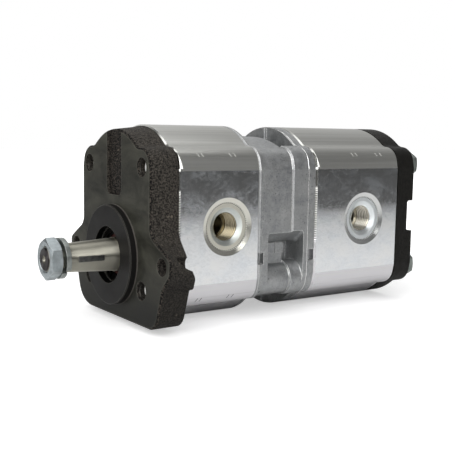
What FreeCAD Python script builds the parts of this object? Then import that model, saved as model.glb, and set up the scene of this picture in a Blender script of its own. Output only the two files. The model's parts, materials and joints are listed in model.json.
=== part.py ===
import FreeCAD, Part
import math
import os

# Tandem external gear pump: two gear stages in extruded aluminium bodies, between a cast iron
# mounting flange, a die-cast intermediate cover and a cast iron rear cover, on four long bolts.
# Millimetres. The origin is the centre of the pilot in the plane of the mounting face, the drive
# shaft runs along X with its tapered end at -X, and the idler gears lie above it at +Z.

# Lengths of the stack along the drive shaft, from the mounting face to the rear
FLANGE_THICKNESS = 17.5
FRONT_BODY_LENGTH = 55.5
MIDDLE_COVER_LENGTH = 43.5
REAR_BODY_LENGTH = 72.0
REAR_COVER_THICKNESS = 14.5

# Cross-section that the bodies and covers share, measured from its own centre
HALF_WIDTH = 44.0
FLAT_HALF_HEIGHT = 32.4
DOME_HEIGHT = 58.0
DOME_DIP = 2.0
CORNER_RADIUS = 11.1
CORNER_Y = 32.1
CORNER_Z = 35.0
BLEND_RADIUS = 8.0
FRONT_BODY_CHAMFER = 0.8
REAR_BODY_CHAMFER = 1.2

# Gears: full-depth involute teeth with a profile shift, twelve on each gear
TEETH = 12
MODULE = 2.85
PRESSURE_ANGLE = 20.0
PROFILE_SHIFT = 0.3
TIP_RADIUS = 21.0
ROOT_RADIUS = 14.4
TOOTH_THINNING = 0.004
GEAR_SIDE_CLEARANCE = 0.05
GEAR_TIP_CLEARANCE = 0.12
FLANK_POINTS = 5

# Journals, bearing blocks and plain bushes
JOURNAL_RADIUS = 10.0
JOURNAL_CLEARANCE = 0.03
JOURNAL_END_GAP = 0.5
BUSH_WALL = 1.5
BUSH_END_GAP = 0.6
FRONT_BLOCK_LENGTH = 23.0
REAR_BLOCK_LENGTH = 12.5
BLOCK_CLEARANCE = 0.05
RELIEF_START_Y = 3.0
RELIEF_DEPTH = 1.2
RELIEF_LENGTH = 9.0
RELIEF_HEIGHT = 7.0

# Seals between the bodies and the covers, and behind the bearing blocks
CASE_SEAL_OFFSET = 4.2
CASE_SEAL_WIDTH = 2.6
CASE_SEAL_DEPTH = 1.8
SEAL_SIDE_CLEARANCE = 0.3
BLOCK_SEAL_RADIUS = 15.6
BLOCK_SEAL_WIDTH = 2.4
BLOCK_SEAL_DEPTH = 2.2
BLOCK_SEAL_OPENING_Y = 8.4
BACKUP_RING_WIDTH = 1.2

# Assembly bolts, M10, with their heads on the rear cover
BOLT_SPACING_Y = 66.1
BOLT_SPACING_Z = 68.8
BOLT_RADIUS = 5.0
BOLT_HOLE_RADIUS = 5.5
BOLT_TAPPED_RADIUS = 5.05
BOLT_RECESS = 4.5
BOLT_HEAD_ACROSS_FLATS = 16.0
BOLT_HEAD_HEIGHT = 6.4
TAPPED_HOLE_CHAMFER = 0.5
BOLT_END_CHAMFER = 0.8
HEX_FACE_SHARE = 0.97
HEX_CHAMFER_SLOPE = 0.5

# Dowel pins, two at each joint face
DOWEL_RADIUS = 3.0
DOWEL_LENGTH = 11.0
DOWEL_Y = 36.0

# Mounting flange: pilot, lugs, foot and the shallow cast slot in its face
PILOT_RADIUS = 29.3
PILOT_HEIGHT = 4.7
PILOT_CHAMFER = 0.5
PILOT_BORE_RADIUS = 16.7
LUG_SHIFT_Y = -1.5
LUG_HOLE_Y = 54.0
LUG_HOLE_RADIUS = 4.5
LUG_HOLE_CHAMFER = 0.6
LUG_SEAT = 0.1
LUG_SEAT_TOP_Z = 30.0
LUG_ROOT_Z = 15.3
LUG_ROOT_RADIUS = 8.0
LUG_TIP_Y = 63.4
LUG_TIP_Z = 4.4
LUG_TIP_RADIUS = 5.0
LUG_LOW_Y = 62.8
LUG_LOW_Z = -4.0
LUG_LOW_RADIUS = 6.0
LUG_NECK_Y = 54.9
LUG_NECK_Z = -12.7
LUG_NECK_RADIUS = 2.0
LUG_TIP_DRAFT = 3.0
LUG_TIP_DROP = 11.0
LUG_LOW_DRAFT = 4.9
LUG_LOW_DROP = 9.8
LUG_REAR_CORNER_RADIUS = 3.0
FOOT_SIDE_Y = 51.5
FOOT_SIDE_Z = -24.0
FOOT_SIDE_RADIUS = 12.0
FOOT_CORNER_Y = 47.3
FOOT_Z = -36.9
FOOT_CORNER_RADIUS = 11.0
ROUND_FOOT_CORNER_RADIUS = 17.0
FOOT_DRAFT = 0.5
FLANGE_EDGE_CHAMFER = 1.2
FLANGE_FRONT_INSET = 1.2
FLANGE_REAR_INSET = 0.3
FLANGE_DOME_DROP = 1.7
FLANGE_REAR_DOME_DROP = 0.9
FACE_SLOT_HALF_WIDTH = 9.2
FACE_SLOT_BOTTOM_Z = 34.8
FACE_SLOT_DEPTH = 1.6
FACE_SLOT_CORNER_RADIUS = 4.0

# Drive shaft end: taper, thread, key, nut and lock washer
SHAFT_TIP_X = -43.4
THREAD_RADIUS = 7.0
THREAD_CHAMFER = 1.0
THREAD_RELIEF_RADIUS = 6.0
THREAD_RELIEF_LENGTH = 2.2
TAPER_SMALL_X = -31.4
TAPER_LARGE_X = -1.0
TAPER_LARGE_RADIUS = 9.7
TAPER_RATIO = 10.0
CENTRE_DRILL_RADIUS = 2.2
CENTRE_DRILL_DEPTH = 4.0
KEY_RADIUS = 8.0
KEY_WIDTH = 3.2
KEY_CENTRE_X = -19.0
KEY_STANDOUT = 1.7
KEY_CUT_BELOW_CENTRE = 1.5
NUT_ACROSS_FLATS = 21.0
NUT_THICKNESS = 7.0
NUT_FRONT_X = -43.0
WASHER_RADIUS = 11.6
WASHER_BORE_RADIUS = 7.3
WASHER_THICKNESS = 2.8
WASHER_GAP_ANGLE = 10.0
WASHER_GAP_DIRECTION = 215.0
WASHER_SECTIONS = 16

# Shaft seal: case, sealing lip, dust lip and the garter spring round the sealing lip
SHAFT_SEAL_RADIUS = 16.0
SHAFT_SEAL_LENGTH = 7.0
SHAFT_SEAL_FRONT_X = 1.6
SEAL_CASE_WALL = 1.0
SEAL_CASE_RIM = 2.5
SEAL_LIP_CLEARANCE = 0.05
SEAL_LIP_RELIEF = 1.0
SEAL_LIP_EDGE = 0.5
SEAL_WEB_THICKNESS = 1.6
SEAL_LIP_X = 3.2
SEAL_LIP_END_X = 4.8
SEAL_LIP_THICKNESS = 0.8
GARTER_WIRE_RADIUS = 0.6
GARTER_WIRE_SIDES = 8

# Retaining ring in front of the shaft seal
RETAINING_RING_RADIUS = 16.85
RETAINING_RING_BORE = 13.6
RETAINING_RING_THICKNESS = 1.2
RETAINING_RING_GAP_ANGLE = 50.0
RING_EYE_RADIUS = 2.4
RING_EYE_HOLE_RADIUS = 1.0
RING_EYE_OFFSET = 0.6
RING_EYE_TURN = 8.0
SHAFT_PASSAGE_RADIUS = 11.0

# Splined coupling between the two drive shafts, inside the intermediate cover
SPLINE_TEETH = 10
SPLINE_OUTER_RADIUS = 8.8
SPLINE_INNER_RADIUS = 7.4
SPLINE_CLEARANCE = 0.15
SPLINE_TOOTH_SHARE = 0.45
COUPLING_RADIUS = 12.2
COUPLING_CLEARANCE = 0.4
COUPLING_LENGTH = 33.0
STUB_GAP = 2.0
COVER_WEB_THICKNESS = 5.0

# Threaded ports, outlet on the near side and inlet on the far side
OUTLET_RADIUS = 8.19
INLET_RADIUS = 10.19
PORT_THREAD_LENGTH = 15.0
PORT_RIM_MARGIN = 8.7
PORT_RIM_DEPTH = 1.2
PORT_FLOOR_MARGIN = 5.7
PORT_FLOOR_DEPTH = 0.2
PORT_MOUTH_WIDTH = 3.1
PORT_MOUTH_DEPTH = 1.8
PASSAGE_STEP = 1.2

# Intermediate cover: rims, low block, collar, domes with a gap and a rib, and side pockets
FRONT_RIM_LENGTH = 2.3
FRONT_RIM_CHAMFER = 0.8
REAR_RIM_LENGTH = 6.0
REAR_RIM_CHAMFER = 0.8
COLLAR_START = 25.5
COLLAR_CHAMFER = 0.8
COLLAR_INSET = 0.2
BLOCK_INSET = 1.4
LOW_DOME_DROP = 4.6
LOW_DOME_DIP = 0.3
LOW_DOME_STEP = 0.4
LOW_DOME_STEP_START = 17.0
DOME_GAP_HALF_WIDTH = 30.0
DOME_GAP_DEPTH = 14.0
DOME_GAP_WALL = 1.0
DOME_RIB_THICKNESS = 3.0
DOME_RIB_LENGTH = 3.0
DOME_RIB_DROP = 1.0
DOME_RIB_ROUNDING = 0.8
POCKET_START = 8.0
POCKET_MOUTH_Z = -4.7
POCKET_TOP_SLOPE = 0.8
POCKET_SLOPE_DEPTH = 9.0
POCKET_DEPTH = 10.0
DEEP_POCKET_DEPTH = 18.0
POCKET_REAR_WALL = 3.0
POCKET_ROUNDING = 2.0
POCKET_PAD_HEIGHT = 1.5
POCKET_PAD_TOP_Z = -12.6
POCKET_PAD_BOTTOM_Z = -19.0
POCKET_PAD_SPLIT = 18.8
POCKET_PAD_GAP = 0.5
BOSS_CLEARANCE = 0.02
SIDE_PAD_LENGTH = 2.4
SIDE_PAD_BOTTOM_Z = 2.0
SIDE_PAD_TOP_Z = 12.0
SIDE_PAD_HEIGHT = 0.4
PRY_NOTCH_LENGTH = 4.8
PRY_NOTCH_TOP_Z = -17.0
PRY_NOTCH_BOTTOM_Z = -24.0
PRY_NOTCH_DEPTH = 5.5

# Rear cover: slot across its back
BACK_SLOT_HALF_HEIGHT = 10.2
BACK_SLOT_DEPTH = 5.0
BACK_SLOT_FILLET = 1.5

# Small overrun of a cutting tool past the face that it starts from, and how near counts as the same place
OVERRUN = 1.0
NEAR = 0.1

# Search for the working pressure angle
STEEPEST_ANGLE = 45.0
SEARCH_STEPS = 60


def involute(angle):
    """Involute function of a pressure angle in radians."""
    return math.tan(angle) - angle


def working_angle():
    """Pressure angle of two equal shifted gears in tight mesh, by bisection."""
    alpha = math.radians(PRESSURE_ANGLE)
    wanted = involute(alpha) + 2 * PROFILE_SHIFT * math.tan(alpha) / TEETH
    low = alpha
    high = math.radians(STEEPEST_ANGLE)
    for _ in range(SEARCH_STEPS):
        middle = (low + high) / 2
        if involute(middle) < wanted:
            low = middle
        else:
            high = middle
    return low


PITCH_RADIUS = MODULE * TEETH / 2
BASE_RADIUS = PITCH_RADIUS * math.cos(math.radians(PRESSURE_ANGLE))
CENTRE_DISTANCE = 2 * BASE_RADIUS / math.cos(working_angle())
CENTRE_Z = CENTRE_DISTANCE / 2
POCKET_RADIUS = TIP_RADIUS + GEAR_TIP_CLEARANCE
BLOCK_RADIUS = POCKET_RADIUS - BLOCK_CLEARANCE
BUSH_RADIUS = JOURNAL_RADIUS + BUSH_WALL

FRONT_BODY_X = FLANGE_THICKNESS
MIDDLE_X = FRONT_BODY_X + FRONT_BODY_LENGTH
REAR_BODY_X = MIDDLE_X + MIDDLE_COVER_LENGTH
REAR_COVER_X = REAR_BODY_X + REAR_BODY_LENGTH
BACK_X = REAR_COVER_X + REAR_COVER_THICKNESS

# Each stage: name, start of its body, length of its body and chamfer of its body's ends
STAGES = (
    ("front", FRONT_BODY_X, FRONT_BODY_LENGTH, FRONT_BODY_CHAMFER),
    ("rear", REAR_BODY_X, REAR_BODY_LENGTH, REAR_BODY_CHAMFER),
)
SIGNS = ((-1, -1), (1, -1), (1, 1), (-1, 1))


def vec(x, y, z):
    return FreeCAD.Vector(x, y, z)


def rod(radius, x0, x1, y=0.0, z=0.0):
    """Cylinder along X."""
    return Part.makeCylinder(radius, x1 - x0, vec(x0, y, z), vec(1, 0, 0))


def cone(radius0, radius1, x0, x1, y=0.0, z=0.0):
    """Cone along X."""
    return Part.makeCone(radius0, radius1, x1 - x0, vec(x0, y, z), vec(1, 0, 0))


def tube(outer, inner, x0, x1, y=0.0, z=0.0):
    return rod(outer, x0, x1, y, z).cut(rod(inner, x0 - OVERRUN, x1 + OVERRUN, y, z))


def block(x0, x1, y0, y1, z0, z1):
    return Part.makeBox(x1 - x0, y1 - y0, z1 - z0, vec(x0, y0, z0))


def join(shapes):
    return shapes[0].multiFuse(shapes[1:]).removeSplitter()


def line(a, b):
    return Part.LineSegment(a, b).toShape()


def arc(a, b, c):
    return Part.Arc(a, b, c).toShape()


def point_on(centre, radius, towards):
    """Point of a circle in the YZ plane that lies towards another point."""
    dy = towards[0] - centre[0]
    dz = towards[1] - centre[1]
    size = math.hypot(dy, dz)
    return centre[0] + radius * dy / size, centre[1] + radius * dz / size


def middle_of(centre, radius, a, b):
    """Middle of the short arc between two points of a circle."""
    return point_on(centre, radius, ((a[0] + b[0]) / 2, (a[1] + b[1]) / 2))


def circle_crossing(c1, r1, c2, r2):
    """Higher one of the two crossings of two circles."""
    dy = c2[0] - c1[0]
    dz = c2[1] - c1[1]
    d = math.hypot(dy, dz)
    along = (r1 * r1 - r2 * r2 + d * d) / (2 * d)
    across = math.sqrt(r1 * r1 - along * along)
    y = c1[0] + along * dy / d
    z = c1[1] + along * dz / d
    first = (y - across * dz / d, z + across * dy / d)
    second = (y + across * dz / d, z - across * dy / d)
    return max(first, second, key=lambda point: point[1])


def dome_radius(height, dip):
    """Radius of a dome of that height, which passes below the corner's top by the dip."""
    rise = height - (CORNER_Z + CORNER_RADIUS - dip)
    return (rise * rise + CORNER_Y * CORNER_Y) / (2 * rise)


def outline_quarter(grow, dome_drop, dome_dip):
    """Points of a quarter of the shared outline, from the side flat up to the dome."""
    dome_height = DOME_HEIGHT - dome_drop
    dome_size = dome_radius(dome_height, dome_dip)
    dome = (0.0, dome_height - dome_size)
    corner = (CORNER_Y, CORNER_Z)
    blend = circle_crossing(dome, dome_size + BLEND_RADIUS, corner, CORNER_RADIUS + BLEND_RADIUS)
    radius = CORNER_RADIUS + grow
    side = (HALF_WIDTH + grow, FLAT_HALF_HEIGHT)
    reach = math.hypot(side[0] - corner[0], side[1] - corner[1])
    swing = math.acos(min(1.0, radius / reach))
    start = math.atan2(side[1] - corner[1], side[0] - corner[0]) + swing
    touch = (corner[0] + radius * math.cos(start), corner[1] + radius * math.sin(start))
    shoulder = point_on(corner, radius, blend)
    foot = point_on(dome, dome_size + grow, blend)
    return {
        "side": side,
        "touch": touch,
        "corner_middle": middle_of(corner, radius, touch, shoulder),
        "shoulder": shoulder,
        "blend_middle": middle_of(blend, BLEND_RADIUS - grow, shoulder, foot),
        "foot": foot,
        "top": (0.0, dome_height + grow),
    }


def outline_wire(x, grow=0.0, dome_drop=0.0, dome_dip=DOME_DIP):
    """Closed outline of the pump's cross-section in the plane at x, grown by an offset."""
    quarter = outline_quarter(grow, dome_drop, dome_dip)

    def at(name, y_sign, z_sign):
        y, z = quarter[name]
        return vec(x, y_sign * y, CENTRE_Z + z_sign * z)

    edges = []
    for y_sign, z_sign in ((1, 1), (-1, 1), (-1, -1), (1, -1)):
        names = ["side", "touch", "corner_middle", "shoulder", "blend_middle", "foot"]
        turned = y_sign * z_sign < 0
        p = [at(name, y_sign, z_sign) for name in names]
        piece = [line(p[0], p[1]), arc(p[1], p[2], p[3]), arc(p[3], p[4], p[5])]
        if turned:
            piece = [arc(p[5], p[4], p[3]), arc(p[3], p[2], p[1]), line(p[1], p[0])]
        edges.extend(piece)
        if turned:
            edges.append(line(p[0], at("side", y_sign, -z_sign)))
        else:
            edges.append(arc(p[5], at("top", y_sign, z_sign), at("foot", -y_sign, z_sign)))
    return Part.Wire(edges)


def prism(x0, x1, grow=0.0, dome_drop=0.0, dome_dip=DOME_DIP):
    """Solid of the shared outline between two planes."""
    face = Part.Face(outline_wire(x0, grow, dome_drop, dome_dip))
    return face.extrude(vec(x1 - x0, 0, 0))


def chamfered_prism(x0, x1, front, rear, grow=0.0):
    """Prism of the shared outline with a chamfer round its front end, its rear end or both."""
    runs = [prism(x0 + front, x1 - rear, grow)]
    if front:
        wires = [outline_wire(x0, grow - front), outline_wire(x0 + front, grow)]
        runs.append(Part.makeLoft(wires, True, True))
    if rear:
        wires = [outline_wire(x1 - rear, grow), outline_wire(x1, grow - rear)]
        runs.append(Part.makeLoft(wires, True, True))
    return join(runs)


def rounded_wire(x, corners):
    """Closed wire at x through corners (y, z, radius), each rounded by its radius."""
    count = len(corners)
    runs = []
    for i in range(count):
        y, z, radius = corners[i]
        here = vec(x, y, z)
        before = vec(x, corners[i - 1][0], corners[i - 1][1]).sub(here).normalize()
        after = vec(x, corners[(i + 1) % count][0], corners[(i + 1) % count][1]).sub(here).normalize()
        half = before.getAngle(after) / 2
        reach = radius / math.tan(half)
        inward = before.add(after).normalize()
        middle = here.add(inward.multiply(radius / math.sin(half) - radius))
        start = here.add(before.multiply(reach))
        end = here.add(after.multiply(reach))
        runs.append((start, middle, end))
    edges = []
    for i in range(count):
        start, middle, end = runs[i]
        edges.append(line(runs[i - 1][2], start))
        edges.append(arc(start, middle, end))
    return Part.Wire(edges)


def racetrack(x0, x1, radius):
    """Solid around both gear axes with straight sides."""
    sides = block(x0, x1, -radius, radius, 0, CENTRE_DISTANCE)
    return join([rod(radius, x0, x1), rod(radius, x0, x1, 0, CENTRE_DISTANCE), sides])


def figure_eight(x0, x1, radius):
    """Two overlapping cylinders around the gear axes."""
    return join([rod(radius, x0, x1), rod(radius, x0, x1, 0, CENTRE_DISTANCE)])


def bolt_places():
    for y_sign, z_sign in SIGNS:
        yield y_sign * BOLT_SPACING_Y / 2, CENTRE_Z + z_sign * BOLT_SPACING_Z / 2


def bolt_holes(x0, x1, radius):
    return [rod(radius, x0, x1, y, z) for y, z in bolt_places()]


def dowel_holes(joint_x, side):
    """Blind holes for the dowels on one side (-1 front, +1 rear) of a joint face."""
    depth = DOWEL_LENGTH / 2 + SEAL_SIDE_CLEARANCE
    ends = sorted((joint_x, joint_x + side * depth))
    return [rod(DOWEL_RADIUS, ends[0], ends[1], y, CENTRE_Z) for y in (-DOWEL_Y, DOWEL_Y)]


def case_seal_groove(joint_x, side):
    """Groove for a case seal in a cover, cut from its joint face."""
    ends = sorted((joint_x, joint_x + side * CASE_SEAL_DEPTH))
    inner = POCKET_RADIUS + CASE_SEAL_OFFSET - SEAL_SIDE_CLEARANCE
    outer = inner + CASE_SEAL_WIDTH + 2 * SEAL_SIDE_CLEARANCE
    return racetrack(ends[0], ends[1], outer).cut(racetrack(ends[0], ends[1], inner))


def case_seal(joint_x, side):
    ends = sorted((joint_x, joint_x + side * CASE_SEAL_DEPTH))
    inner = POCKET_RADIUS + CASE_SEAL_OFFSET
    return racetrack(ends[0], ends[1], inner + CASE_SEAL_WIDTH).cut(racetrack(ends[0], ends[1], inner))


# Joint faces that carry a case seal: name, place and the side on which the cover lies
CASE_JOINTS = (
    ("front", FRONT_BODY_X, -1),
    ("middle_front", MIDDLE_X, 1),
    ("middle_rear", REAR_BODY_X, -1),
    ("rear", REAR_COVER_X, 1),
)


def lug_corners(side, rear):
    """Outline of a lug and half of the foot on one side of the flange, at its front or rear face."""
    if rear:
        root_y = HALF_WIDTH - FLANGE_REAR_INSET - LUG_SEAT
        tip = (LUG_TIP_Y - LUG_TIP_DRAFT, LUG_TIP_Z - LUG_TIP_DROP, LUG_REAR_CORNER_RADIUS)
        low = (LUG_LOW_Y - LUG_LOW_DRAFT, LUG_LOW_Z - LUG_LOW_DROP, LUG_REAR_CORNER_RADIUS)
        draft = FOOT_DRAFT
    else:
        root_y = HALF_WIDTH - FLANGE_FRONT_INSET - LUG_SEAT
        tip = (LUG_TIP_Y, LUG_TIP_Z, LUG_TIP_RADIUS)
        low = (LUG_LOW_Y, LUG_LOW_Z, LUG_LOW_RADIUS)
        draft = 0.0
    neck = (LUG_NECK_Y - draft, LUG_NECK_Z - draft, LUG_NECK_RADIUS)
    foot_side = (FOOT_SIDE_Y - draft, FOOT_SIDE_Z, FOOT_SIDE_RADIUS)
    foot_corner = (FOOT_CORNER_Y - draft, FOOT_Z, FOOT_CORNER_RADIUS)
    if side > 0:
        foot_corner = (FOOT_CORNER_Y - draft, FOOT_Z, ROUND_FOOT_CORNER_RADIUS)
    corners = [
        (side * root_y, LUG_SEAT_TOP_Z, LUG_NECK_RADIUS),
        (side * root_y, LUG_ROOT_Z, LUG_ROOT_RADIUS),
    ]
    for y, z, radius in (tip, low, neck, foot_side, foot_corner):
        corners.append((LUG_SHIFT_Y + side * y, z, radius))
    return corners


def moved_in(corners, inset):
    """Corners (y, z, radius) of an outline, named clockwise, moved inwards by an inset."""
    def inward(a, b):
        size = math.hypot(b[0] - a[0], b[1] - a[1])
        return (b[1] - a[1]) / size, (a[0] - b[0]) / size

    moved = []
    for i, (y, z, radius) in enumerate(corners):
        before = inward(corners[i - 1], corners[i])
        after = inward(corners[i], corners[(i + 1) % len(corners)])
        reach = inset / (1 + before[0] * after[0] + before[1] * after[1])
        convex = before[0] * after[1] < before[1] * after[0]
        moved.append((y + reach * (before[0] + after[0]), z + reach * (before[1] + after[1]),
                      radius - inset if convex else radius + inset))
    return moved


def lug_wire(x, rear, inset=0.0):
    left = lug_corners(1, rear)
    right = lug_corners(-1, rear)
    return rounded_wire(x, moved_in(left + right[::-1], inset))


def flange_plate():
    """Tapered casting of the flange with its lugs, flat foot and chamfered front edge."""
    edge = FLANGE_EDGE_CHAMFER
    end = FLANGE_THICKNESS
    front = (FLANGE_DOME_DROP, DOME_DIP + FLANGE_DOME_DROP)
    rear = (FLANGE_REAR_DOME_DROP, DOME_DIP + FLANGE_REAR_DOME_DROP)
    dome_wires = [outline_wire(0, -FLANGE_FRONT_INSET - edge, *front),
                  outline_wire(edge, -FLANGE_FRONT_INSET, *front),
                  outline_wire(end, -FLANGE_REAR_INSET, *rear)]
    lug_wires = [lug_wire(0, False, edge), lug_wire(edge, False), lug_wire(end, True)]
    reach = 2 * LUG_TIP_Y
    below = block(-OVERRUN, end + OVERRUN, -reach, reach, -reach, LUG_ROOT_Z - LUG_ROOT_RADIUS)
    dome = Part.makeLoft(dome_wires, True, True).cut(below)
    return join([dome, Part.makeLoft(lug_wires, True, True)])


def face_slot():
    """Shallow cast slot that runs down the flange's face from the top."""
    top = CENTRE_Z + DOME_HEIGHT
    slot = block(-OVERRUN, FACE_SLOT_DEPTH, -FACE_SLOT_HALF_WIDTH, FACE_SLOT_HALF_WIDTH,
                 FACE_SLOT_BOTTOM_Z, top)
    low_edges = []
    for edge in slot.Edges:
        centre = edge.CenterOfMass
        if abs(centre.z - FACE_SLOT_BOTTOM_Z) < NEAR and abs(abs(centre.y) - FACE_SLOT_HALF_WIDTH) < NEAR:
            low_edges.append(edge)
    return slot.makeFillet(FACE_SLOT_CORNER_RADIUS, low_edges)


def front_flange():
    pilot = rod(PILOT_RADIUS, PILOT_CHAMFER - PILOT_HEIGHT, FLANGE_THICKNESS / 2)
    nose = cone(PILOT_RADIUS - PILOT_CHAMFER, PILOT_RADIUS, -PILOT_HEIGHT, PILOT_CHAMFER - PILOT_HEIGHT)
    solid = join([flange_plate(), pilot, nose])
    seal_end = SHAFT_SEAL_FRONT_X + SHAFT_SEAL_LENGTH
    ring_x = SHAFT_SEAL_FRONT_X - RETAINING_RING_THICKNESS
    tools = [
        face_slot(),
        rod(PILOT_BORE_RADIUS, -PILOT_HEIGHT - OVERRUN, ring_x - OVERRUN),
        rod(SHAFT_SEAL_RADIUS, -PILOT_HEIGHT, seal_end),
        rod(RETAINING_RING_RADIUS, ring_x, SHAFT_SEAL_FRONT_X),
        rod(SHAFT_PASSAGE_RADIUS, seal_end - OVERRUN, FLANGE_THICKNESS + OVERRUN),
        case_seal_groove(FRONT_BODY_X, -1),
    ]
    tools.extend(dowel_holes(FRONT_BODY_X, -1))
    mouth = BOLT_TAPPED_RADIUS + TAPPED_HOLE_CHAMFER
    for y, z in bolt_places():
        tools.append(rod(BOLT_TAPPED_RADIUS, -OVERRUN, FLANGE_THICKNESS + OVERRUN, y, z))
        tools.append(cone(mouth, BOLT_TAPPED_RADIUS, 0, TAPPED_HOLE_CHAMFER, y, z))
    for side in (-1, 1):
        y = LUG_SHIFT_Y + side * LUG_HOLE_Y
        tools.append(rod(LUG_HOLE_RADIUS, -OVERRUN, FLANGE_THICKNESS + OVERRUN, y, 0))
        tools.append(cone(LUG_HOLE_RADIUS + LUG_HOLE_CHAMFER, LUG_HOLE_RADIUS, 0, LUG_HOLE_CHAMFER, y, 0))
    for tool in tools:
        solid = solid.cut(tool)
    return solid


def port_tools(x, side, radius, passage_end):
    """Conical rim, floor, threaded hole and passage of a port on one side (-1 near, +1 far)."""
    def drill(r0, r1, depth0, depth1):
        start = vec(x, side * (HALF_WIDTH - depth0), CENTRE_Z)
        length = depth1 - depth0
        if r0 == r1:
            return Part.makeCylinder(r0, length, start, vec(0, -side, 0))
        return Part.makeCone(r0, r1, length, start, vec(0, -side, 0))

    floor = PORT_RIM_DEPTH + PORT_FLOOR_DEPTH
    floor_radius = radius + PORT_FLOOR_MARGIN
    rim_slope = (PORT_RIM_MARGIN - PORT_FLOOR_MARGIN) / PORT_RIM_DEPTH
    outer_radius = radius + PORT_RIM_MARGIN + rim_slope * OVERRUN
    inner_radius = radius - PASSAGE_STEP
    return [
        drill(outer_radius, floor_radius, -OVERRUN, PORT_RIM_DEPTH),
        drill(floor_radius, floor_radius, 0, floor),
        drill(radius + PORT_MOUTH_WIDTH, radius, floor, floor + PORT_MOUTH_DEPTH),
        drill(radius, radius, 0, floor + PORT_THREAD_LENGTH),
        drill(inner_radius, inner_radius, PORT_THREAD_LENGTH, HALF_WIDTH - passage_end),
    ]


def gear_middle(x, length):
    """Middle of the gear chamber in the body that starts at x."""
    return x + (FRONT_BLOCK_LENGTH + length - REAR_BLOCK_LENGTH) / 2


def pump_body(x, length, chamfer):
    """Extruded body with its gear pocket, ports, bolt holes and dowel holes."""
    solid = chamfered_prism(x, x + length, chamfer, chamfer)
    tools = [figure_eight(x - OVERRUN, x + length + OVERRUN, POCKET_RADIUS)]
    middle = gear_middle(x, length)
    waist = math.sqrt(POCKET_RADIUS ** 2 - CENTRE_Z ** 2)
    tools.extend(port_tools(middle, -1, OUTLET_RADIUS, waist / 2))
    tools.extend(port_tools(middle, 1, INLET_RADIUS, waist / 2))
    tools.extend(bolt_holes(x - OVERRUN, x + length + OVERRUN, BOLT_HOLE_RADIUS))
    tools.extend(dowel_holes(x, 1))
    tools.extend(dowel_holes(x + length, -1))
    for tool in tools:
        solid = solid.cut(tool)
    return solid


# Places along the intermediate cover
BLOCK_X = MIDDLE_X + FRONT_RIM_LENGTH
COLLAR_X = MIDDLE_X + COLLAR_START
REAR_RIM_X = REAR_BODY_X - REAR_RIM_LENGTH
POCKET_X = MIDDLE_X + POCKET_START


def side_block(side, x0, x1, inner, outer, z0, z1):
    """Box on one side of the cover, between two distances from its middle plane and two heights."""
    ends = sorted((side * inner, side * outer))
    return block(x0, x1, ends[0], ends[1], CENTRE_Z + z0, CENTRE_Z + z1)


def pocket(side, x0, x1, depth, inset, closed_x):
    """Side pocket with a sloping top wall, rounded at its closed end, down to the boss of the lower bolt."""
    def at(y, z):
        return vec(x0, side * y, CENTRE_Z + z)

    outer = HALF_WIDTH + OVERRUN
    slope_end = HALF_WIDTH - min(POCKET_SLOPE_DEPTH, depth)
    outer_z = POCKET_MOUTH_Z + POCKET_TOP_SLOPE * OVERRUN
    inner_z = POCKET_MOUTH_Z - POCKET_TOP_SLOPE * (HALF_WIDTH - slope_end)
    floor = HALF_WIDTH - depth
    bottom = -outline_quarter(-inset, 0.0, DOME_DIP)["touch"][1]
    points = [at(outer, outer_z), at(slope_end, inner_z), at(floor, inner_z), at(floor, bottom)]
    points.extend([at(outer, bottom), points[0]])
    cut = Part.Face(Part.makePolygon(points)).extrude(vec(x1 - x0, 0, 0))
    top_corner = []
    for edge in cut.Edges:
        box = edge.BoundBox
        at_end = max(abs(box.XMin - closed_x), abs(box.XMax - closed_x)) < NEAR
        if at_end and box.ZMin > CENTRE_Z + inner_z - NEAR:
            top_corner.append(edge)
    cut = cut.makeFillet(POCKET_ROUNDING, top_corner)
    boss = rod(CORNER_RADIUS - inset + BOSS_CLEARANCE, x0, x1, side * CORNER_Y, CENTRE_Z - CORNER_Z)
    return cut.cut(boss)


def pocket_pads(side):
    """Two cast pads on the floor of a shallow pocket."""
    floor = HALF_WIDTH - POCKET_DEPTH
    top = floor + POCKET_PAD_HEIGHT
    split = MIDDLE_X + POCKET_PAD_SPLIT
    for x0, x1 in ((POCKET_X - OVERRUN, split), (split + POCKET_PAD_GAP, COLLAR_X)):
        yield side_block(side, x0, x1, floor - OVERRUN, top, POCKET_PAD_BOTTOM_Z, POCKET_PAD_TOP_Z)


def dome_rib(z_sign):
    """Rib across the dome gap, with its two front corners rounded."""
    half = DOME_RIB_THICKNESS / 2
    low = DOME_HEIGHT - DOME_GAP_DEPTH - OVERRUN
    ends = sorted((CENTRE_Z + z_sign * low, CENTRE_Z + z_sign * (DOME_HEIGHT - DOME_RIB_DROP)))
    x0 = REAR_RIM_X - DOME_RIB_LENGTH
    rib = block(x0, REAR_RIM_X + OVERRUN, -half, half, ends[0], ends[1])
    front = [e for e in rib.Edges if e.BoundBox.XMax < x0 + NEAR and e.BoundBox.ZLength > DOME_RIB_THICKNESS]
    return rib.makeFillet(DOME_RIB_ROUNDING, front)


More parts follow.
